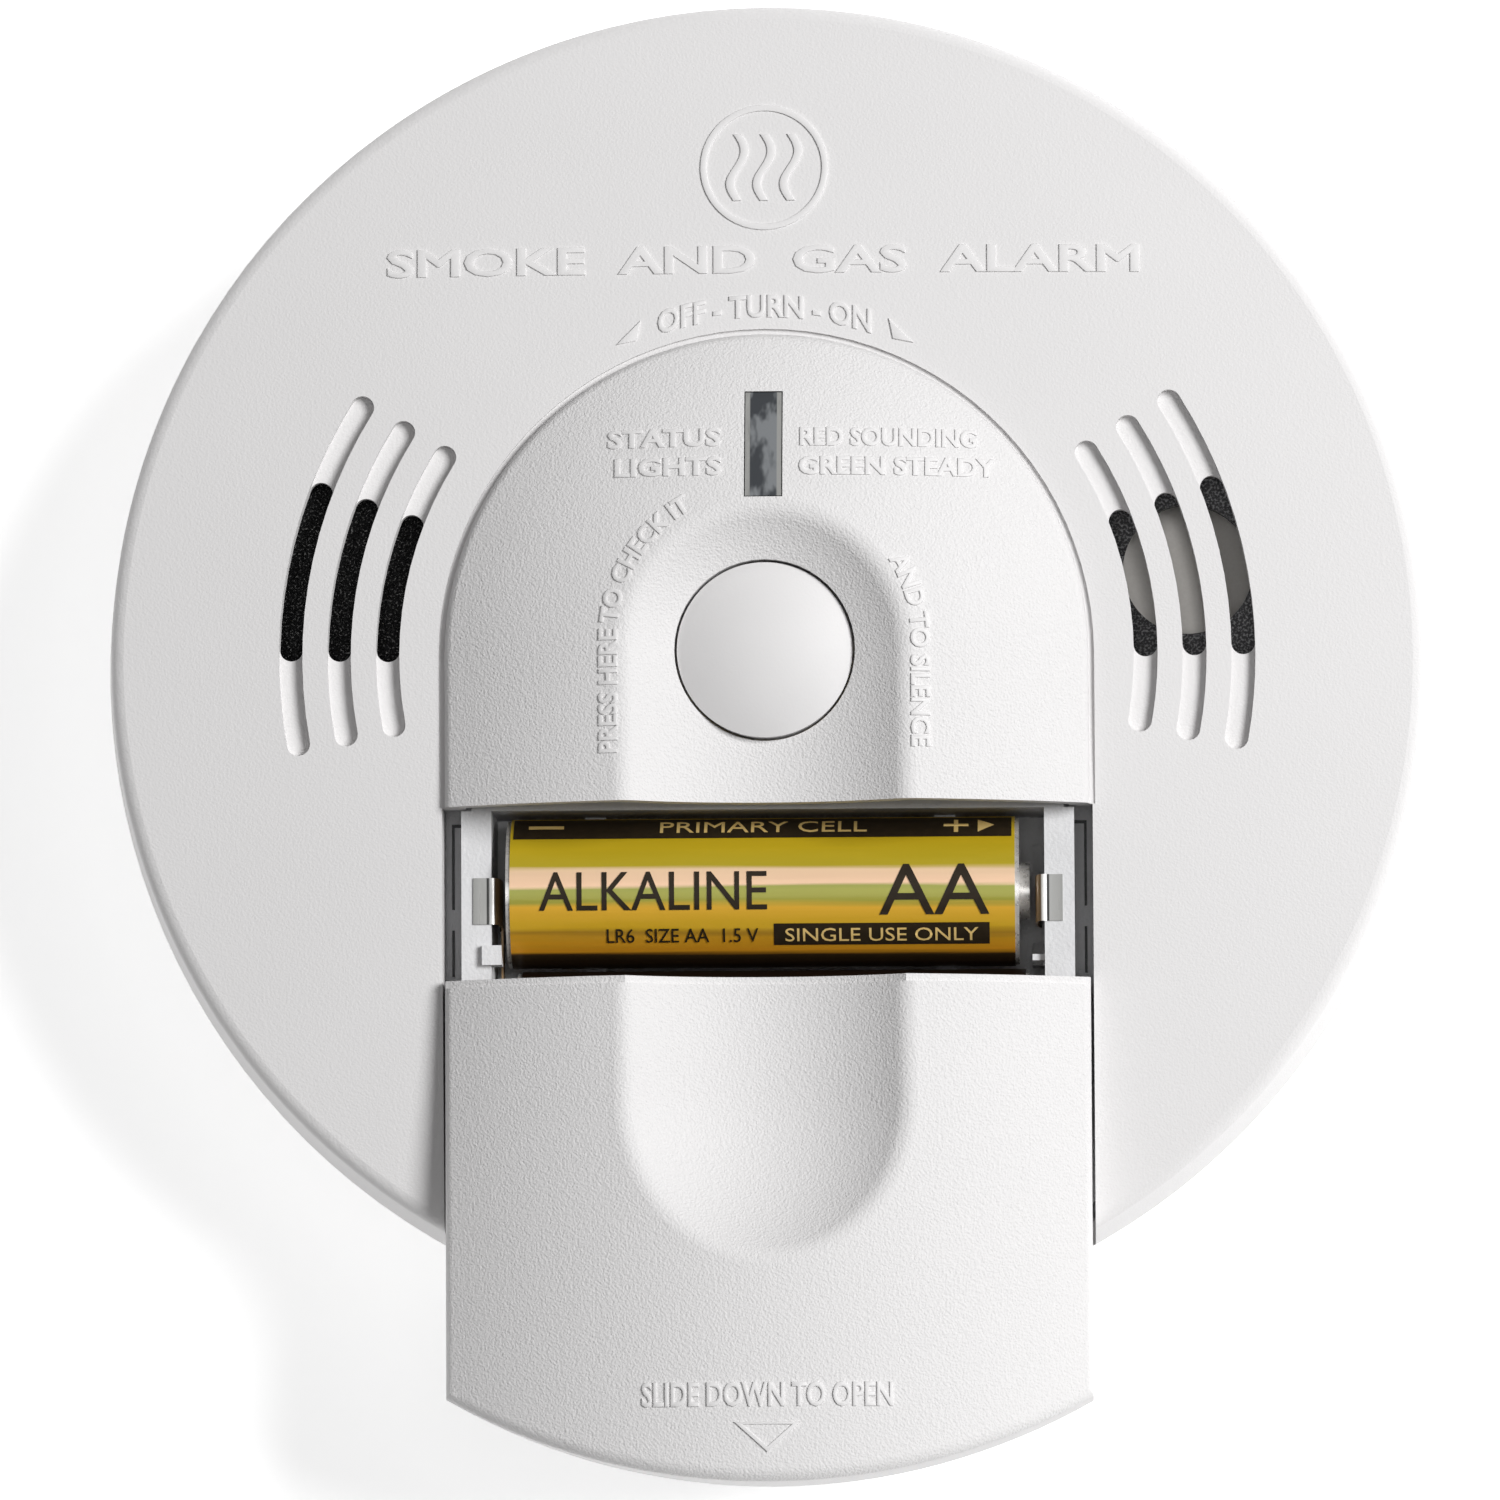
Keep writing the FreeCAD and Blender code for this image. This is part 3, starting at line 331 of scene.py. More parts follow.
@finish
def button_white():
    paint = Finish("button_white", 0.5, specular=0.15)
    cloud = paint.noise(4 * MM, 3.0)
    paint.feed("Base Color", paint.mix(cloud, (0.69, 0.68, 0.68), (0.71, 0.70, 0.70)))
    paint.feed("Roughness", cloud * 0.1 + 0.45)
    return paint.bump(paint.noise(0.25 * MM, 1.0), 0.008 * MM)


@finish
def tray_grey():
    paint = Finish("tray_grey", 0.5)
    cloud = paint.noise(3 * MM, 4.0)
    paint.feed("Base Color", paint.mix(cloud, (0.60, 0.60, 0.61), (0.72, 0.72, 0.73)))
    paint.feed("Roughness", cloud * 0.15 + 0.4)
    return paint.bump(paint.noise(0.35 * MM), 0.06 * MM)


# %% [markdown]
# ## Dark plastics and rubber
#
# What shows through the right-hand vents is a charcoal moulding round the sounder. Its tool is
# coarse, and each tiny facet catches some light, so pale specks are mixed into the colour. The
# black plastics inside are plainer. Each changes a little over its surface, as a real one does.


# %% Charcoal, black and rubber
@finish
def charcoal_plastic():
    paint = Finish("charcoal_plastic", 0.6)
    specks = paint.step(paint.noise(0.24 * MM, 1.0), 0.45, 0.7)
    paint.feed("Base Color", paint.mix(specks, (0.06, 0.06, 0.064), (0.42, 0.42, 0.43)))
    return paint.bump(paint.noise(0.5 * MM, 3.0), 0.2 * MM)


@finish
def black_plastic():
    paint = Finish("black_plastic", 0.45)
    cloud = paint.noise(1.5 * MM)
    paint.feed("Base Color", paint.mix(cloud, (0.014, 0.014, 0.016), (0.032, 0.032, 0.035)))
    paint.feed("Roughness", cloud * 0.2 + 0.35)
    return paint.bump(paint.noise(0.3 * MM), 0.04 * MM)


@finish
def black_rubber():
    paint = Finish("black_rubber", 0.7)
    cloud = paint.noise(1.0 * MM, 3.0)
    paint.feed("Base Color", paint.mix(cloud, (0.012, 0.012, 0.012), (0.035, 0.034, 0.033)))
    return paint.bump(cloud, 0.05 * MM)


# %% [markdown]
# ## The foam pad
#
# A pad of open foam covers the speaker behind the left-hand vents. Foam is bubbles with thin
# walls between them, which is what a Voronoi texture's distance to the nearest edge describes.
# The walls are raised, and light caught on them shows as small specks.


# %% Open foam
@finish
def black_foam():
    paint = Finish("black_foam", 0.9)
    cells = paint.node("ShaderNodeTexVoronoi", {"feature": "DISTANCE_TO_EDGE"},
                       {"Vector": paint.place(), "Scale": 1 / (0.62 * MM)})
    walls = 1 - paint.step(cells, 0.0, 0.16)
    specks = paint.step(paint.noise(0.22 * MM, 1.0), 0.55, 0.7)
    shine = walls * 0.5 + 0.5
    paint.feed("Base Color", paint.mix(specks * shine, (0.012, 0.012, 0.013), (0.42, 0.42, 0.41)))
    return paint.bump(walls, 0.25 * MM)


# %% [markdown]
# ## The light window and the lamps under it
#
# The window is smoked plastic, polished. Its paler edge is a painted highlight, where light leaks
# along the rim's bevel. The rim could be a piece of its own, but it is the same moulding, so the
# distance from the window's middle makes the painted highlight a band of the colour. Soft paler
# streaks are painted in for what shows dimly behind. Below it sit a clear guide and two tinted
# lamps.

# %% Smoked, clear and tinted plastics
HIDDEN_RIM = 0.9 * MM
BORDER = 0.4 * MM
BORDER_BLEND = 0.12 * MM


@finish
def smoked_lens():
    paint = Finish("smoked_lens", 0.12, coat=0.6, coat_roughness=0.05)
    inner = size_of("light_window").x / 2 - HIDDEN_RIM - BORDER
    from_middle = paint.maths("ABSOLUTE", paint.axes()[0] - window_place.x)
    # The paler band round the edge is a painted highlight, where the rim's bevel catches light.
    edge_highlight = paint.step(from_middle, inner - BORDER_BLEND, inner)
    streaks = paint.step(paint.drawn((1, 0.35, 1), 2.2 * MM), 0.5, 0.62)
    body = paint.mix(streaks, (0.05, 0.054, 0.06), (0.2, 0.21, 0.22))
    paint.feed("Base Color", paint.mix(edge_highlight, body, (0.30, 0.30, 0.29)))
    paint.feed("Roughness", paint.noise(1.2 * MM) * 0.1 + 0.1)
    return paint.bump(streaks, 0.05 * MM)


@finish
def clear_plastic():
    paint = Finish("clear_plastic", 0.12, clear=0.6, ior=1.49)
    paint.feed("Base Color", (0.8, 0.83, 0.86))
    paint.feed("Roughness", paint.noise(1.5 * MM) * 0.12 + 0.06)
    return paint.bump(paint.noise(1.1 * MM), 0.01 * MM)


def tinted(name, dark, light):
    """A small epoxy lamp body, its tint wavering between a darker and a lighter tone."""
    paint = Finish(name, 0.2, coat=0.5)
    paint.feed("Base Color", paint.mix(paint.noise(1.0 * MM), dark, light))
    return paint.bump(paint.noise(0.6 * MM), 0.01 * MM)


@finish
def red_lens():
    return tinted("red_lens", (0.45, 0.02, 0.015), (0.7, 0.05, 0.04))


@finish
def green_lens():
    return tinted("green_lens", (0.02, 0.35, 0.07), (0.05, 0.6, 0.15))


# %% [markdown]
# ## The circuit board
#
# A board is green lacquer over copper tracks. The tracks run in steps and stop in bare patches,
# so the joints of a Brick texture are kept only where broad noise is high. Capacitors wear a dark
# shrunk sleeve, small parts are fired ceramic, and the speaker's cone is fibrous pressed paper.


# %% Board, small parts and cone
@finish
def board_green():
    paint = Finish("board_green", 0.35, coat=0.3)
    joints = paint.node("ShaderNodeTexBrick", {"offset": 0.37},
                        {"Vector": paint.place(), "Scale": 140.0, "Mortar Size": 0.06,
                         "Color1": (0, 0, 0), "Color2": (0, 0, 0), "Mortar": (1, 1, 1)})
    tracks = joints * paint.step(paint.noise(9 * MM, 1.0), 0.45, 0.5)
    paint.feed("Base Color", paint.mix(tracks, (0.012, 0.12, 0.045), (0.04, 0.24, 0.09)))
    return paint.bump(tracks, 0.03 * MM)


def mottled(name, roughness, grain, dark, light):
    """A plain surface that wavers between two colours."""
    paint = Finish(name, roughness)
    paint.feed("Base Color", paint.mix(paint.noise(grain), dark, light))
    return paint


@finish
def capacitor_sleeve():
    paint = mottled("capacitor_sleeve", 0.3, 2 * MM, (0.015, 0.018, 0.05), (0.04, 0.045, 0.09))
    return paint.bump(paint.noise(0.8 * MM), 0.01 * MM)


@finish
def ceramic_parts():
    paint = mottled("ceramic_parts", 0.4, 0.8 * MM, (0.05, 0.045, 0.04), (0.45, 0.4, 0.34))
    return paint.bump(paint.noise(0.4 * MM), 0.01 * MM)


@finish
def paper_cone():
    paint = Finish("paper_cone", 0.85)
    fibres = paint.noise(0.8 * MM, 5.0)
    paint.feed("Base Color", paint.mix(fibres, (0.015, 0.015, 0.015), (0.06, 0.058, 0.055)))
    return paint.bump(fibres, 0.08 * MM)


# %% [markdown]
# ## Steels
#
# The steels are told apart by how they were worked. Rolled and drawn metal carries lines along
# its length, so its noise is stretched by a Mapping node. The sounder's disc is dull and hazy,
# and scatters most of its light, so it is hardly metallic at all.


# %% Worked metals
def metal(name, dark, light, roughness, stretch, grain, bare=1.0):
    """A worked metal; bare is below 1 where plating or haze scatters some of the light."""
    paint = Finish(name, roughness, metallic=bare)
    lines = paint.drawn(stretch, grain * MM)
    paint.feed("Base Color", paint.mix(lines, dark, light))
    paint.feed("Roughness", lines * 0.15 + (roughness - 0.07))
    return paint.bump(lines, 0.01 * MM)


@finish
def bare_steel():
    return metal("bare_steel", (0.74, 0.71, 0.67), (0.86, 0.83, 0.79), 0.6, (1, 1, 1), 0.3, 0.05)


@finish
def screen_steel():
    return metal("screen_steel", (0.2, 0.2, 0.21), (0.42, 0.42, 0.43), 0.4, (1, 1, 0.4), 0.4)


@finish
def spring_steel():
    return metal("spring_steel", (0.4, 0.4, 0.42), (0.62, 0.62, 0.64), 0.3, (1, 1, 0.3), 0.3)


@finish
def cell_steel():
    return metal("cell_steel", (0.5, 0.48, 0.46), (0.85, 0.84, 0.82), 0.28, (1, 1, 0.2), 0.5, 0.6)


# %% [markdown]
# ## Nickel-plated contacts
#
# A bent strip mirrors something different on each of its flats: the warm film of the cell on the
# bow, the lamp on the fold, a dark slot beside it, and grey walls on the pad. Mirrors need
# surroundings to reflect, and a studio has few, so a colour ramp across the strip paints them.

# %% A folded strip's reflections
STRIP_LEAD = 0.25 * MM
STRIP_REACH = 3.4 * MM
STRIP_COLOURS = [
    (0.0, (0.14, 0.08, 0.035)), (0.18, (0.40, 0.25, 0.11)), (0.27, (0.12, 0.07, 0.03)),
    (0.32, (0.86, 0.85, 0.82)), (0.43, (0.95, 0.95, 0.94)), (0.46, (0.03, 0.03, 0.03)),
    (0.50, (0.03, 0.03, 0.03)), (0.53, (0.36, 0.36, 0.35)), (1.0, (0.26, 0.26, 0.25))]


@finish
def nickel_contact():
    paint = Finish("nickel_contact", 0.3, metallic=0.2)
    outward = paint.maths("ABSOLUTE", paint.axes()[0])
    across = (outward - (contact_low.x - STRIP_LEAD)) / STRIP_REACH
    lines = paint.drawn((1, 0.05, 0.3), 0.4 * MM)
    paint.feed("Base Color", paint.ramp(across, STRIP_COLOURS))
    paint.feed("Roughness", lines * 0.2 + 0.2)
    return paint.bump(lines, 0.01 * MM)


# %% [markdown]
# ## The cell's film and its inks
#
# The film on a cell is printed gold, glossy but not quite a mirror. Wide soft bands of orange,
# green, pink and olive run along it. The gold and orange are the film's own. The olive, green and
# pink bands are painted reflections of the surroundings, the palest pink is a painted highlight, and
# a near black along one edge is painted shade. They are a colour ramp across the cell, and slow
# noise pulled out along it makes their edges wander. The inks on it are a near black and a pale
# gold.

# %% Gold film with painted reflections, and inks
# The gold and orange are the film's own. The olive, green and pink stops are painted reflections,
# the palest pink is a painted highlight, and the near black at the start is painted shade.
FILM_GOLD_AND_REFLECTIONS = [
    (0.02, (0.02, 0.01, 0.005)), (0.07, (0.05, 0.03, 0.01)), (0.10, (0.90, 0.40, 0.02)),
    (0.17, (0.70, 0.36, 0.02)), (0.20, (0.45, 0.24, 0.02)), (0.24, (0.72, 0.44, 0.02)),
    (0.37, (0.82, 0.46, 0.04)), (0.41, (0.34, 0.32, 0.04)), (0.50, (0.30, 0.31, 0.05)),
    (0.53, (0.90, 0.60, 0.40)), (0.62, (0.96, 0.68, 0.44)), (0.66, (0.52, 0.40, 0.02)),
    (0.84, (0.66, 0.46, 0.015)), (0.97, (0.72, 0.50, 0.03))]


@finish
def gold_sleeve():
    paint = Finish("gold_sleeve", 0.4, metallic=0.3, coat=0.2)
    across = (paint.axes()[1] - (film_place.y - film_radius)) / (2 * film_radius)
    wander = paint.drawn((0.03, 1, 1), 1.6 * MM) * 0.10 - 0.05
    # The ramp paints reflections, a highlight and shade onto the gold.
    paint.feed("Base Color", paint.ramp(across + wander, FILM_GOLD_AND_REFLECTIONS))
    paint.feed("Roughness", paint.drawn((0.05, 1, 1), 0.7 * MM) * 0.14 + 0.28)
    return paint.bump(paint.drawn((0.04, 1, 1), 0.9 * MM), 0.02 * MM)


def ink(name, dark, light, roughness, **constants):
    """A thin printed layer."""
    paint = Finish(name, roughness, **constants)
    paint.feed("Base Color", paint.mix(paint.noise(1.0 * MM), dark, light))
    return paint.bump(paint.noise(0.5 * MM), 0.005 * MM)


@finish
def print_dark():
    return ink("print_dark", (0.012, 0.008, 0.004), (0.03, 0.02, 0.01), 0.5, specular=0.2)


@finish
def print_gold():
    return ink("print_gold", (0.75, 0.5, 0.14), (0.9, 0.68, 0.3), 0.4, metallic=0.2)


# %% [markdown]
# ## Dress the frame's own pieces
#
# Most pieces keep the frame's shape, because it is already the real one. Each takes the finish
# that its material slot in the record names.

# %% Assign finishes
for entry in frame["record"]["subparts"]:
    node = frame["nodes"][entry["node"]]
    node.data.materials.clear()
    node.data.materials.append(FINISHES[entry["material_slot"]])


# %% [markdown]
# ## A place to put new pieces
#
# Every new piece is a mesh in the frame's own coordinates, with its object at the origin, so it
# can ride on a body of the frame without being fitted. Shading is smooth, with an edge kept sharp
# where its faces turn by more than an angle.


# %% Adding a piece
def add_piece(name, form, body, look, smooth=35):
    """Turn a bmesh into a piece that rides on a body."""
    mesh = bpy.data.meshes.new(name)
    form.to_mesh(mesh)
    form.free()
    mesh.materials.append(FINISHES[look])
    piece = bpy.data.objects.new(name, mesh)
    bpy.context.scene.collection.objects.link(piece)
    mesh.shade_smooth()
    mesh.set_sharp_from_angle(angle=math.radians(smooth))
    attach(piece, body)
    print("piece:", name, len(mesh.polygons), "faces")
    return piece


def move(form, verts, x=0.0, y=0.0, z=0.0):
    bmesh.ops.translate(form, verts=verts, vec=(x, y, z))


# %% [markdown]
# ## Seams beside the tray
#
# The tray is a separate moulding dropped into the case, so a dark seam runs round the ends of its
# shelves: a short line across the top corner and a long one down the side, broken where the two
# mouldings are clipped together. A seam could be cut into the shelf, but a shelf is the frame's
# and stays as it is, so the seams are narrow dark strips that lie on it.

# %% Draw the tray seams
SEAM_HIGH = 0.3 * MM
SEAM_SINK = 0.1 * MM
SEAM_STRIPS = ((0.3, 0.55, -1.4, 6.6), (0.3, 0.55, -7.9, -3.4), (0.3, 2.2, 6.6, 6.9))
SHELF_SPOT = Vector((0.9, 2.6)) * MM
tray_tree = tree_of("battery_tray")


def strip(form, side, near, far, low, high):
    """A bar between these distances in from the arch's side and up from the cell's middle, in mm."""
    bar = bmesh.ops.create_cube(form, size=1.0)["verts"]
    bmesh.ops.scale(form, verts=bar, vec=((far - near) * MM, (high - low) * MM, SEAM_HIGH))
    x = side * (arch_radius - (near + far) / 2 * MM)
    move(form, bar, x, film_place.y + (low + high) / 2 * MM, SEAM_HIGH / 2)


def tray_seam(name, side):
    form = bmesh.new()
    for limits in SEAM_STRIPS:
        strip(form, side, *limits)
    shelf = height_on(tray_tree, side * (arch_radius - SHELF_SPOT.x), film_place.y + SHELF_SPOT.y)
    move(form, form.verts, z=shelf - SEAM_SINK)
    return add_piece(name, form, "alarm", "black_plastic")


tray_seam("tray_seam_left", -1)
tray_seam("tray_seam_right", 1)

# %% [markdown]
# ## Folded contacts
#
# The strips that touch the cells are nickel-plated sheet. Each is folded over the top of its wall
# and bowed inwards, so that it springs against the cell's end. The section is drawn as a line
# inside the box that the frame gives the contact, swept along the strip's width, and given its
# thickness by solidify. The two cells are joined at the far side by one contact with two leaves
# and a flat bar between them.

# %% Fold the contacts
SHEET = 0.2 * MM
SECTION = ((2.80, -0.17), (1.43, -0.17), (1.37, -0.25), (1.29, -0.25), (1.21, -0.15), (0.85, -0.13),
           (0.55, -0.35), (0.35, -0.95), (0.21, -2.65), (0.15, -4.85), (0.25, -7.65), (0.60, -10.45))
BAR_IN = 0.35 * MM
BAR_HIGH = 3.0 * MM
BAR_RISE = 2.5 * MM
strip_width = size_of("plus_contact").y


def sweep_section(form, side, row):
    """The folded section, swept along y over the strip's width."""
    y = row - strip_width / 2
    line = [form.verts.new((side * (contact_low.x + x * MM), y, contact_high.z + z * MM))
            for x, z in SECTION]
    edges = [form.edges.new(pair) for pair in zip(line, line[1:])]
    swept = bmesh.ops.extrude_edge_only(form, edges=edges)["geom"]
    move(form, [g for g in swept if isinstance(g, bmesh.types.BMVert)], y=strip_width)
    return [g for g in swept if isinstance(g, bmesh.types.BMFace)]


def link_bar(form, side, rows):
    """The flat bar between two leaves."""
    bar = bmesh.ops.create_cube(form, size=1.0)["verts"]
    length = rows[0] - rows[1] - strip_width
    bmesh.ops.scale(form, verts=bar, vec=(SHEET, length, BAR_HIGH))
    move(form, bar, side * (contact_low.x + BAR_IN), sum(rows) / 2, contact_low.z + BAR_RISE)


def folded(name, side, rows):
    form = bmesh.new()
    faces = [face for row in rows for face in sweep_section(form, side, row)]
    bmesh.ops.recalc_face_normals(form, faces=faces)
    bmesh.ops.solidify(form, geom=faces, thickness=SHEET)
    if len(rows) == 2:
        link_bar(form, side, rows)
    bmesh.ops.recalc_face_normals(form, faces=form.faces[:])
    piece = add_piece("folded_" + name, form, "alarm", "nickel_contact", smooth=50)
    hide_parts(name)
    return piece


front_row = middle("plus_contact").y
rear_row = middle("minus_contact").y
folded("plus_contact", 1, (front_row,))
folded("minus_contact", 1, (rear_row,))
folded("bridge_contact", -1, (front_row, rear_row))

# %% [markdown]
# ## Raised marks
#
# The real case carries raised words. Here they are plain generic words in the same places. A
# text object gives the outlines and their thickness, and is made a mesh, scaled to its height
# and width, bent along its line if it has one, and dropped on the moulding. Dropping moves each
# point straight down by the surface's height there, so a long line of words follows the dome.

# %% Words as meshes
CAP_TO_SIZE = 1.4
MARK_RISE = 0.32 * MM
MARK_SINK = 0.12 * MM


def centred(form, width, cap):
    """Move a flat form's middle to the origin and scale it to this width and height."""
    low = Vector([min(v.co[i] for v in form.verts) for i in range(3)])
    high = Vector([max(v.co[i] for v in form.verts) for i in range(3)])
    bmesh.ops.translate(form, verts=form.verts, vec=-(low + high) / 2)
    scale = (width / (high.x - low.x), cap / (high.y - low.y), 1)
    bmesh.ops.scale(form, verts=form.verts, vec=scale)


def lettering(words, cap, width, rise=MARK_RISE, bevel=0.1 * MM):
    """Words centred on the origin, cap high and width wide, standing up by rise."""
    curve = bpy.data.curves.new("words", "FONT")
    curve.body = words
    curve.size = cap * CAP_TO_SIZE
    curve.extrude = rise / 2 - bevel
    curve.bevel_depth = bevel
    curve.bevel_resolution = 1
    curve.resolution_u = 3
    holder = bpy.data.objects.new("words", curve)
    bpy.context.scene.collection.objects.link(holder)
    bpy.context.view_layer.update()
    seen = holder.evaluated_get(bpy.context.evaluated_depsgraph_get())
    form = bmesh.new()
    form.from_mesh(bpy.data.meshes.new_from_object(seen))
    bpy.data.objects.remove(holder)
    bmesh.ops.remove_doubles(form, verts=form.verts, dist=0.0005 * MM)
    centred(form, width, cap)
    move(form, form.verts, z=rise / 2)
    return form


# %% [markdown]
# Each mark stands a little less than its height above the plastic, because its foot is sunk. A
# foot exactly on the surface would flicker through it on a curve.


# %% Drop a mark on the moulding
def drop_on(form, tree):
    """Lift every point by the surface's height under it, less the sunk foot."""
    for v in form.verts:
        v.co.z += height_on(tree, v.co.x, v.co.y) - MARK_SINK
    return form


def add_mark(name, form, x=0.0, y=0.0, tree=cover_tree, body="alarm"):
    move(form, form.verts, x, y)
    return add_piece(name, drop_on(form, tree), body, "mark_white")


# %% [markdown]
# The title stands above the arch. Two short lines stand on each side of the light window: what
# the lights are, and what each colour means. The door says how it opens.

# %% Straight words
UPPER_LINE = 0.7
LOWER_LINE = -2.2
title = lettering("SMOKE  AND  GAS  ALARM", 2.8 * MM, 73 * MM)
add_mark("mark_title", title, -0.2 * MM, arch_radius + 7.4 * MM)
for name, words, width, x, y in (
        ("mark_left_upper", "STATUS", 11.0, -9.6, UPPER_LINE),
        ("mark_left_lower", "LIGHTS", 10.4, -9.2, LOWER_LINE),
        ("mark_right_upper", "RED SOUNDING", 17.0, 12.0, UPPER_LINE),
        ("mark_right_lower", "GREEN STEADY", 19.0, 12.9, LOWER_LINE)):
    form = lettering(words, 1.9 * MM, width * MM)
    add_mark(name, form, window_place.x + x * MM, window_place.y + y * MM)
door_words = lettering("SLIDE DOWN TO OPEN", 2.4 * MM, 24 * MM)
add_mark("mark_door", door_words, 0, door_foot + 8.3 * MM, door_tree, "door")

# %% [markdown]
# ## Words round a curve
#
# The words beside the button run along the groove: straight up its side, then round its head.
# A function turns a distance along that line and a height off it into a point, and every point
# of the lettering is passed through it. The words above the arch follow its half circle the same
# way. Slim letters bend well, because each has many points.


# %% Bend words along a line
def bend(form, place):
    """Put every point where the line says: its x is the distance, and its y the height off it."""
    for v in form.verts:
        v.co.x, v.co.y = place(v.co.x, v.co.y)
    return form


TURN_GAP = 2.8 * MM
GROOVE_REACH = button_radius + 5.2 * MM
GROOVE_HEAD = button_place.y + 1.0 * MM


def over_the_arch(along, off):
    reach = arch_radius + TURN_GAP + off
    return reach * math.sin(along / reach), reach * math.cos(along / reach)


def beside_groove(side):
    """A line up the groove's side and round its head; distance 0 is where the head begins."""
    def place(along, off):
        reach = GROOVE_REACH + off
        if side * along > 0:
            return side * reach, GROOVE_HEAD - side * along
        turn = -side * along / GROOVE_REACH
        return side * reach * math.cos(turn), GROOVE_HEAD + reach * math.sin(turn)
    return place


# %% [markdown]
# Both lines of words read clockwise, so the left one climbs the groove and the right one comes
# down it. A shift along the line, made before the bend, sets where each begins.

# %% Words beside the button and above the arch
add_mark("mark_turn", bend(lettering("OFF - TURN - ON", 2.3 * MM, 21 * MM), over_the_arch))
for name, words, width, start, side in (
        ("mark_check", "PRESS HERE TO CHECK IT", 27.0, 2.4, -1),
        ("mark_quiet", "AND TO SILENCE", 19.0, 1.2, 1)):
    form = lettering(words, 1.9 * MM, width * MM)
    move(form, form.verts, start * MM)
    add_mark(name, bend(form, beside_groove(side)))

# %% [markdown]
# ## Raised signs
#
# Three plain signs are moulded too: slanted arrow ends beside the turning words, a hollow
# triangle that shows which way the door slides, and a ring round three rising waves above the
# title. Each is flat to begin with and is extruded, and its top edges are bevelled, as a mould
# leaves them. The triangle and the ring are outlines, so each is two circles with few or many
# sides and a bridge between them.

# %% Flat outlines and their height
SOFT_EDGE = 0.08 * MM
STEEP = 0.8


def raise_flat(form):
    """Extrude flat faces upwards and soften the top edges."""
    raised = bmesh.ops.extrude_face_region(form, geom=form.faces[:])["geom"]
    tops = [g for g in raised if isinstance(g, bmesh.types.BMVert)]
    move(form, tops, z=MARK_RISE)
    bmesh.ops.recalc_face_normals(form, faces=form.faces)
    rims = [e for e in form.edges if e.is_manifold and all(v in tops for v in e.verts)
            and e.calc_face_angle(0) > STEEP]
    bmesh.ops.bevel(form, geom=rims, offset=SOFT_EDGE, affect="EDGES", segments=2, profile=0.5,
                    material=-1)
    return form


def polygon(corners):
    form = bmesh.new()
    form.faces.new([form.verts.new((x * MM, y * MM, 0)) for x, y in corners])
    return form


def hollow_polygon(count, radius, line, turn=0.0):
    """A regular polygon's outline, with this width of line."""
    form = bmesh.new()
    corner = math.cos(math.pi / count)
    for reach in (radius, radius - line / corner):
        bmesh.ops.create_circle(form, segments=count, radius=reach,
                                matrix=Matrix.Rotation(turn, 4, "Z"))
    bmesh.ops.bridge_loops(form, edges=form.edges[:])
    return form


# %% Triangle, arrow ends and ring
triangle = hollow_polygon(3, 3.7 * MM, 0.5 * MM, math.pi)
bmesh.ops.scale(triangle, verts=triangle.verts, vec=(1, 0.52, 1))
add_mark("mark_arrow", raise_flat(triangle), 0, door_foot + 4.7 * MM, door_tree, "door")

WEDGE = ((12.0, 1.5), (14.4, -0.9), (12.4, -0.5))
for side, name in ((-1, "left"), (1, "right")):
    wedge = polygon([(side * x, y) for x, y in WEDGE])
    add_mark("mark_wedge_" + name, raise_flat(wedge), 0, arch_radius)

sign_height = arch_radius + 16.5 * MM
ring = hollow_polygon(72, 6.2 * MM, 0.6 * MM)
add_mark("sign_ring", raise_flat(ring), 0, sign_height)

# %% [markdown]
# A wave is a narrow upright bar, cut into short lengths and pushed sideways by a sine. Three of
# them stand side by side in the ring and say that warm air rises to the alarm.

# %% Three rising waves
WAVE_LONG = 6.6 * MM
WAVE_WIDE = 0.8 * MM
WAVE_SWAY = 0.7 * MM


def wave():
    """A narrow upright bar whose middle line is one whole wave."""
    form = bmesh.new()
    bmesh.ops.create_grid(form, x_segments=1, y_segments=28, size=0.5)
    bmesh.ops.scale(form, verts=form.verts, vec=(WAVE_WIDE, WAVE_LONG, 1))
    for v in form.verts:
        v.co.x += WAVE_SWAY * math.sin(v.co.y / WAVE_LONG * math.tau)
    return raise_flat(form)


for count, x in enumerate((-2.6, 0, 2.6)):
    add_mark(f"sign_wave_{count}", wave(), x * MM, sign_height)

# %% [markdown]
# ## Printing on the cell
#
# A cell's film is printed all over, so its marks bend round the can. Flat lettering is cut into
# narrow strips across its height, so that it has points to bend at, and is rolled round the
# cell's line. Marks near the top band are taller than they look, because that part of the can
# turns away from the eye. The words are plain ones that any such cell carries.

# %% Roll marks round the cell
CUT = 0.35 * MM


def roll_on_cell(form, x, angle, lift):
    """Roll a flat form round the cell, with its middle at x and at this angle from the top."""
    height = max(abs(v.co.y) for v in form.verts)
    for count in range(-int(height / CUT), int(height / CUT) + 1):
        geometry = form.verts[:] + form.edges[:] + form.faces[:]
        bmesh.ops.bisect_plane(form, geom=geometry, plane_co=(0, count * CUT, 0), plane_no=(0, 1, 0))
    for v in form.verts:
        turn = angle + v.co.y / film_radius
        reach = film_radius + lift + v.co.z
        v.co.x += x
        v.co.y = film_place.y + reach * math.sin(turn)
        v.co.z = film_place.z + reach * math.cos(turn)
    return form


def print_piece(name, form, x, angle, lift, look):
    """Roll a form on at a distance from the can's middle, in mm, and an angle, in degrees."""
    form = roll_on_cell(form, can_place.x + x * MM, math.radians(angle), lift)
    return add_piece(name, form, "front_battery", look, smooth=60)


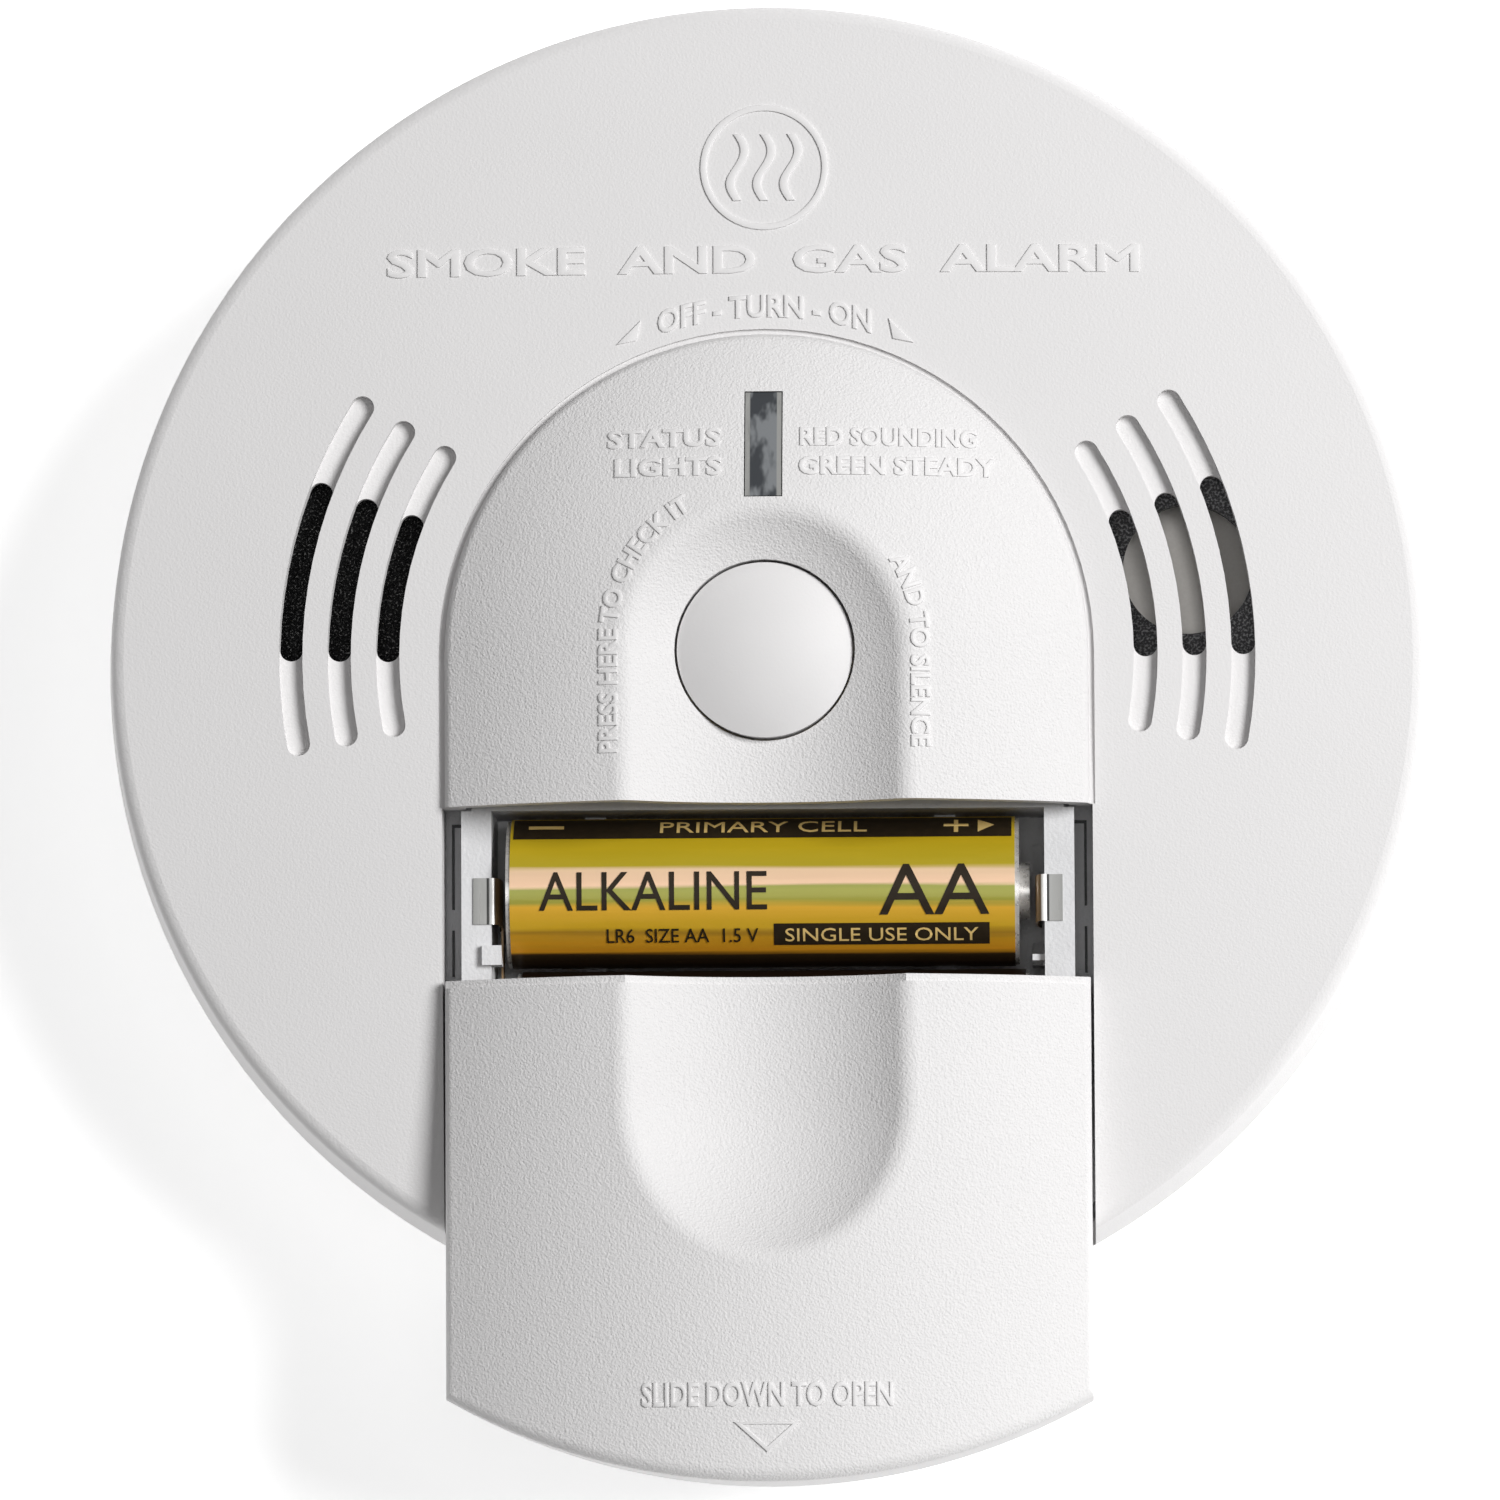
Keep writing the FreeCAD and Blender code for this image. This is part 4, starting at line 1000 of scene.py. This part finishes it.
# %% [markdown]
# The print is built up in layers, each lifted a few hundredths of a millimetre above the one
# below: first a dark band along the top and a dark strip at the foot, then the words.

# %% Bands, words and arrow
BAND_LIFT = 0.05 * MM
INK_LIFT = 0.08 * MM
ARROW_LIFT = 0.09 * MM
INK_THICK = 0.03 * MM
BAND_SHORT = 0.6 * MM
BAND_TURN = 58.5
TOP_TURN = 57
MIDDLE_TURN = -2
FOOT_TURN = -38


def patch(length, height):
    """A flat rectangle of print, lying on the origin."""
    form = bmesh.new()
    bmesh.ops.create_grid(form, x_segments=1, y_segments=1, size=0.5)
    bmesh.ops.scale(form, verts=form.verts, vec=(length, height, 1))
    return form


band = patch(size_of("front_sleeve").x - BAND_SHORT, 4.0 * MM)
band_x = (film_place.x - can_place.x) / MM
print_piece("print_band", band, band_x, BAND_TURN, BAND_LIFT, "print_dark")
foot = patch(20.8 * MM, 2.5 * MM)
print_piece("print_strip", foot, 11.0, FOOT_TURN, BAND_LIFT, "print_dark")
for name, words, cap, width, x, angle, look in (
        ("print_minus", "-", 0.55, 3.4, -21.4, TOP_TURN, "print_gold"),
        ("print_plus", "+", 2.4, 2.4, 18.2, TOP_TURN, "print_gold"),
        ("print_kind", "PRIMARY CELL", 2.1, 20.0, -0.4, TOP_TURN, "print_gold"),
        ("print_alkaline", "ALKALINE", 3.7, 22.0, -11.0, MIDDLE_TURN, "print_dark"),
        ("print_size", "AA", 4.9, 10.6, 16.1, MIDDLE_TURN, "print_dark"),
        ("print_volts", "LR6  SIZE AA  1.5 V", 1.6, 14.6, -8.2, FOOT_TURN, "print_dark"),
        ("print_note", "SINGLE USE ONLY", 1.5, 18.6, 11.0, FOOT_TURN, "print_gold")):
    form = lettering(words, cap * MM, width * MM, INK_THICK, bevel=0.0)
    print_piece(name, form, x, angle, INK_LIFT, look)
arrow = polygon([(-0.7, -1.2), (0.9, 0), (-0.7, 1.2)])
print_piece("print_arrow", arrow, 21.0, TOP_TURN, ARROW_LIFT, "print_gold")

# %% [markdown]
# ## The camera
#
# The alarm lies face up and is seen from almost straight above, with a long lens from over a
# metre away, leaning a little towards the door. Turning a camera to look at a point would leave
# its roll to chance at this angle, so its three axes are worked out and put in a matrix.

# %% Camera
EYE_HEIGHT = 1130 * MM
LEAN_DOWN = math.radians(5.0)
LEAN_RIGHT = math.radians(1.7)
ROLL = math.radians(-0.28)
LENS = 273.2
AIM = Vector((-2.0, -8.07, 23.0)) * MM


def add_camera():
    back = Vector((math.tan(LEAN_RIGHT), -math.tan(LEAN_DOWN), 1)).normalized()
    up = (Vector((0, 1, 0)) - back * back.y).normalized()
    facing = Matrix((up.cross(back), up, back)).transposed()
    camera = bpy.data.objects.new("camera", bpy.data.cameras.new("camera"))
    camera.data.sensor_width = 36
    camera.data.lens = LENS
    camera.data.clip_start = 0.05
    camera.location = AIM + back * ((EYE_HEIGHT - AIM.z) / back.z)
    camera.rotation_euler = (facing @ Matrix.Rotation(ROLL, 3, "Z")).to_euler()
    bpy.context.scene.collection.objects.link(camera)
    bpy.context.scene.camera = camera
    print("camera height:", round(camera.location.z, 3), "m")


add_camera()

# %% [markdown]
# ## Light and floor
#
# One big soft lamp stands at the upper right and gives the shapes their shade. A weak one high
# overhead lifts what faces it, and pale surroundings fill the rest. The floor glows a little,
# as a lit backdrop does, so that it stays white right up to the shadow.

# %% Lamps and surroundings
LAMP_TARGET = Vector((0, -0.01, 0.02))


def add_lamp(name, place, width, power):
    lamp = bpy.data.lights.new(name, "AREA")
    lamp.shape = "DISK"
    lamp.size = width
    lamp.energy = power
    holder = bpy.data.objects.new(name, lamp)
    holder.location = place
    holder.rotation_euler = (LAMP_TARGET - Vector(place)).to_track_quat("-Z", "Y").to_euler()
    bpy.context.scene.collection.objects.link(holder)
    print("lamp:", name, power, "W")


add_lamp("key", (1.70, 0.52, 2.30), 1.3, 91.0)
add_lamp("front", (0.05, -0.1, 2.4), 0.9, 5.0)
world = bpy.data.worlds.new("studio")
bpy.context.scene.world = world
world.use_nodes = True
background = world.node_tree.nodes["Background"]
background.inputs["Color"].default_value = (1, 1, 1, 1)
background.inputs["Strength"].default_value = 0.12
bpy.context.scene.view_settings.view_transform = "Standard"

# %% Floor
FLOOR_REACH = 3.0
FLOOR_GAP = 0.02 * MM
FLOOR_GLOW = 0.62


def add_floor():
    form = bmesh.new()
    bmesh.ops.create_grid(form, x_segments=1, y_segments=1, size=FLOOR_REACH)
    move(form, form.verts, z=cad_box[0][2] - FLOOR_GAP)
    mesh = bpy.data.meshes.new("floor")
    form.to_mesh(mesh)
    form.free()
    paint = Finish("floor_white", 0.9, glow=FLOOR_GLOW)
    paint.feed("Emission Color", (1, 1, 1))
    paint.feed("Base Color", paint.mix(paint.noise(0.4), (0.94, 0.94, 0.94), (0.96, 0.96, 0.96)))
    mesh.materials.append(paint.material)
    floor = bpy.data.objects.new("floor", mesh)
    bpy.context.scene.collection.objects.link(floor)


add_floor()
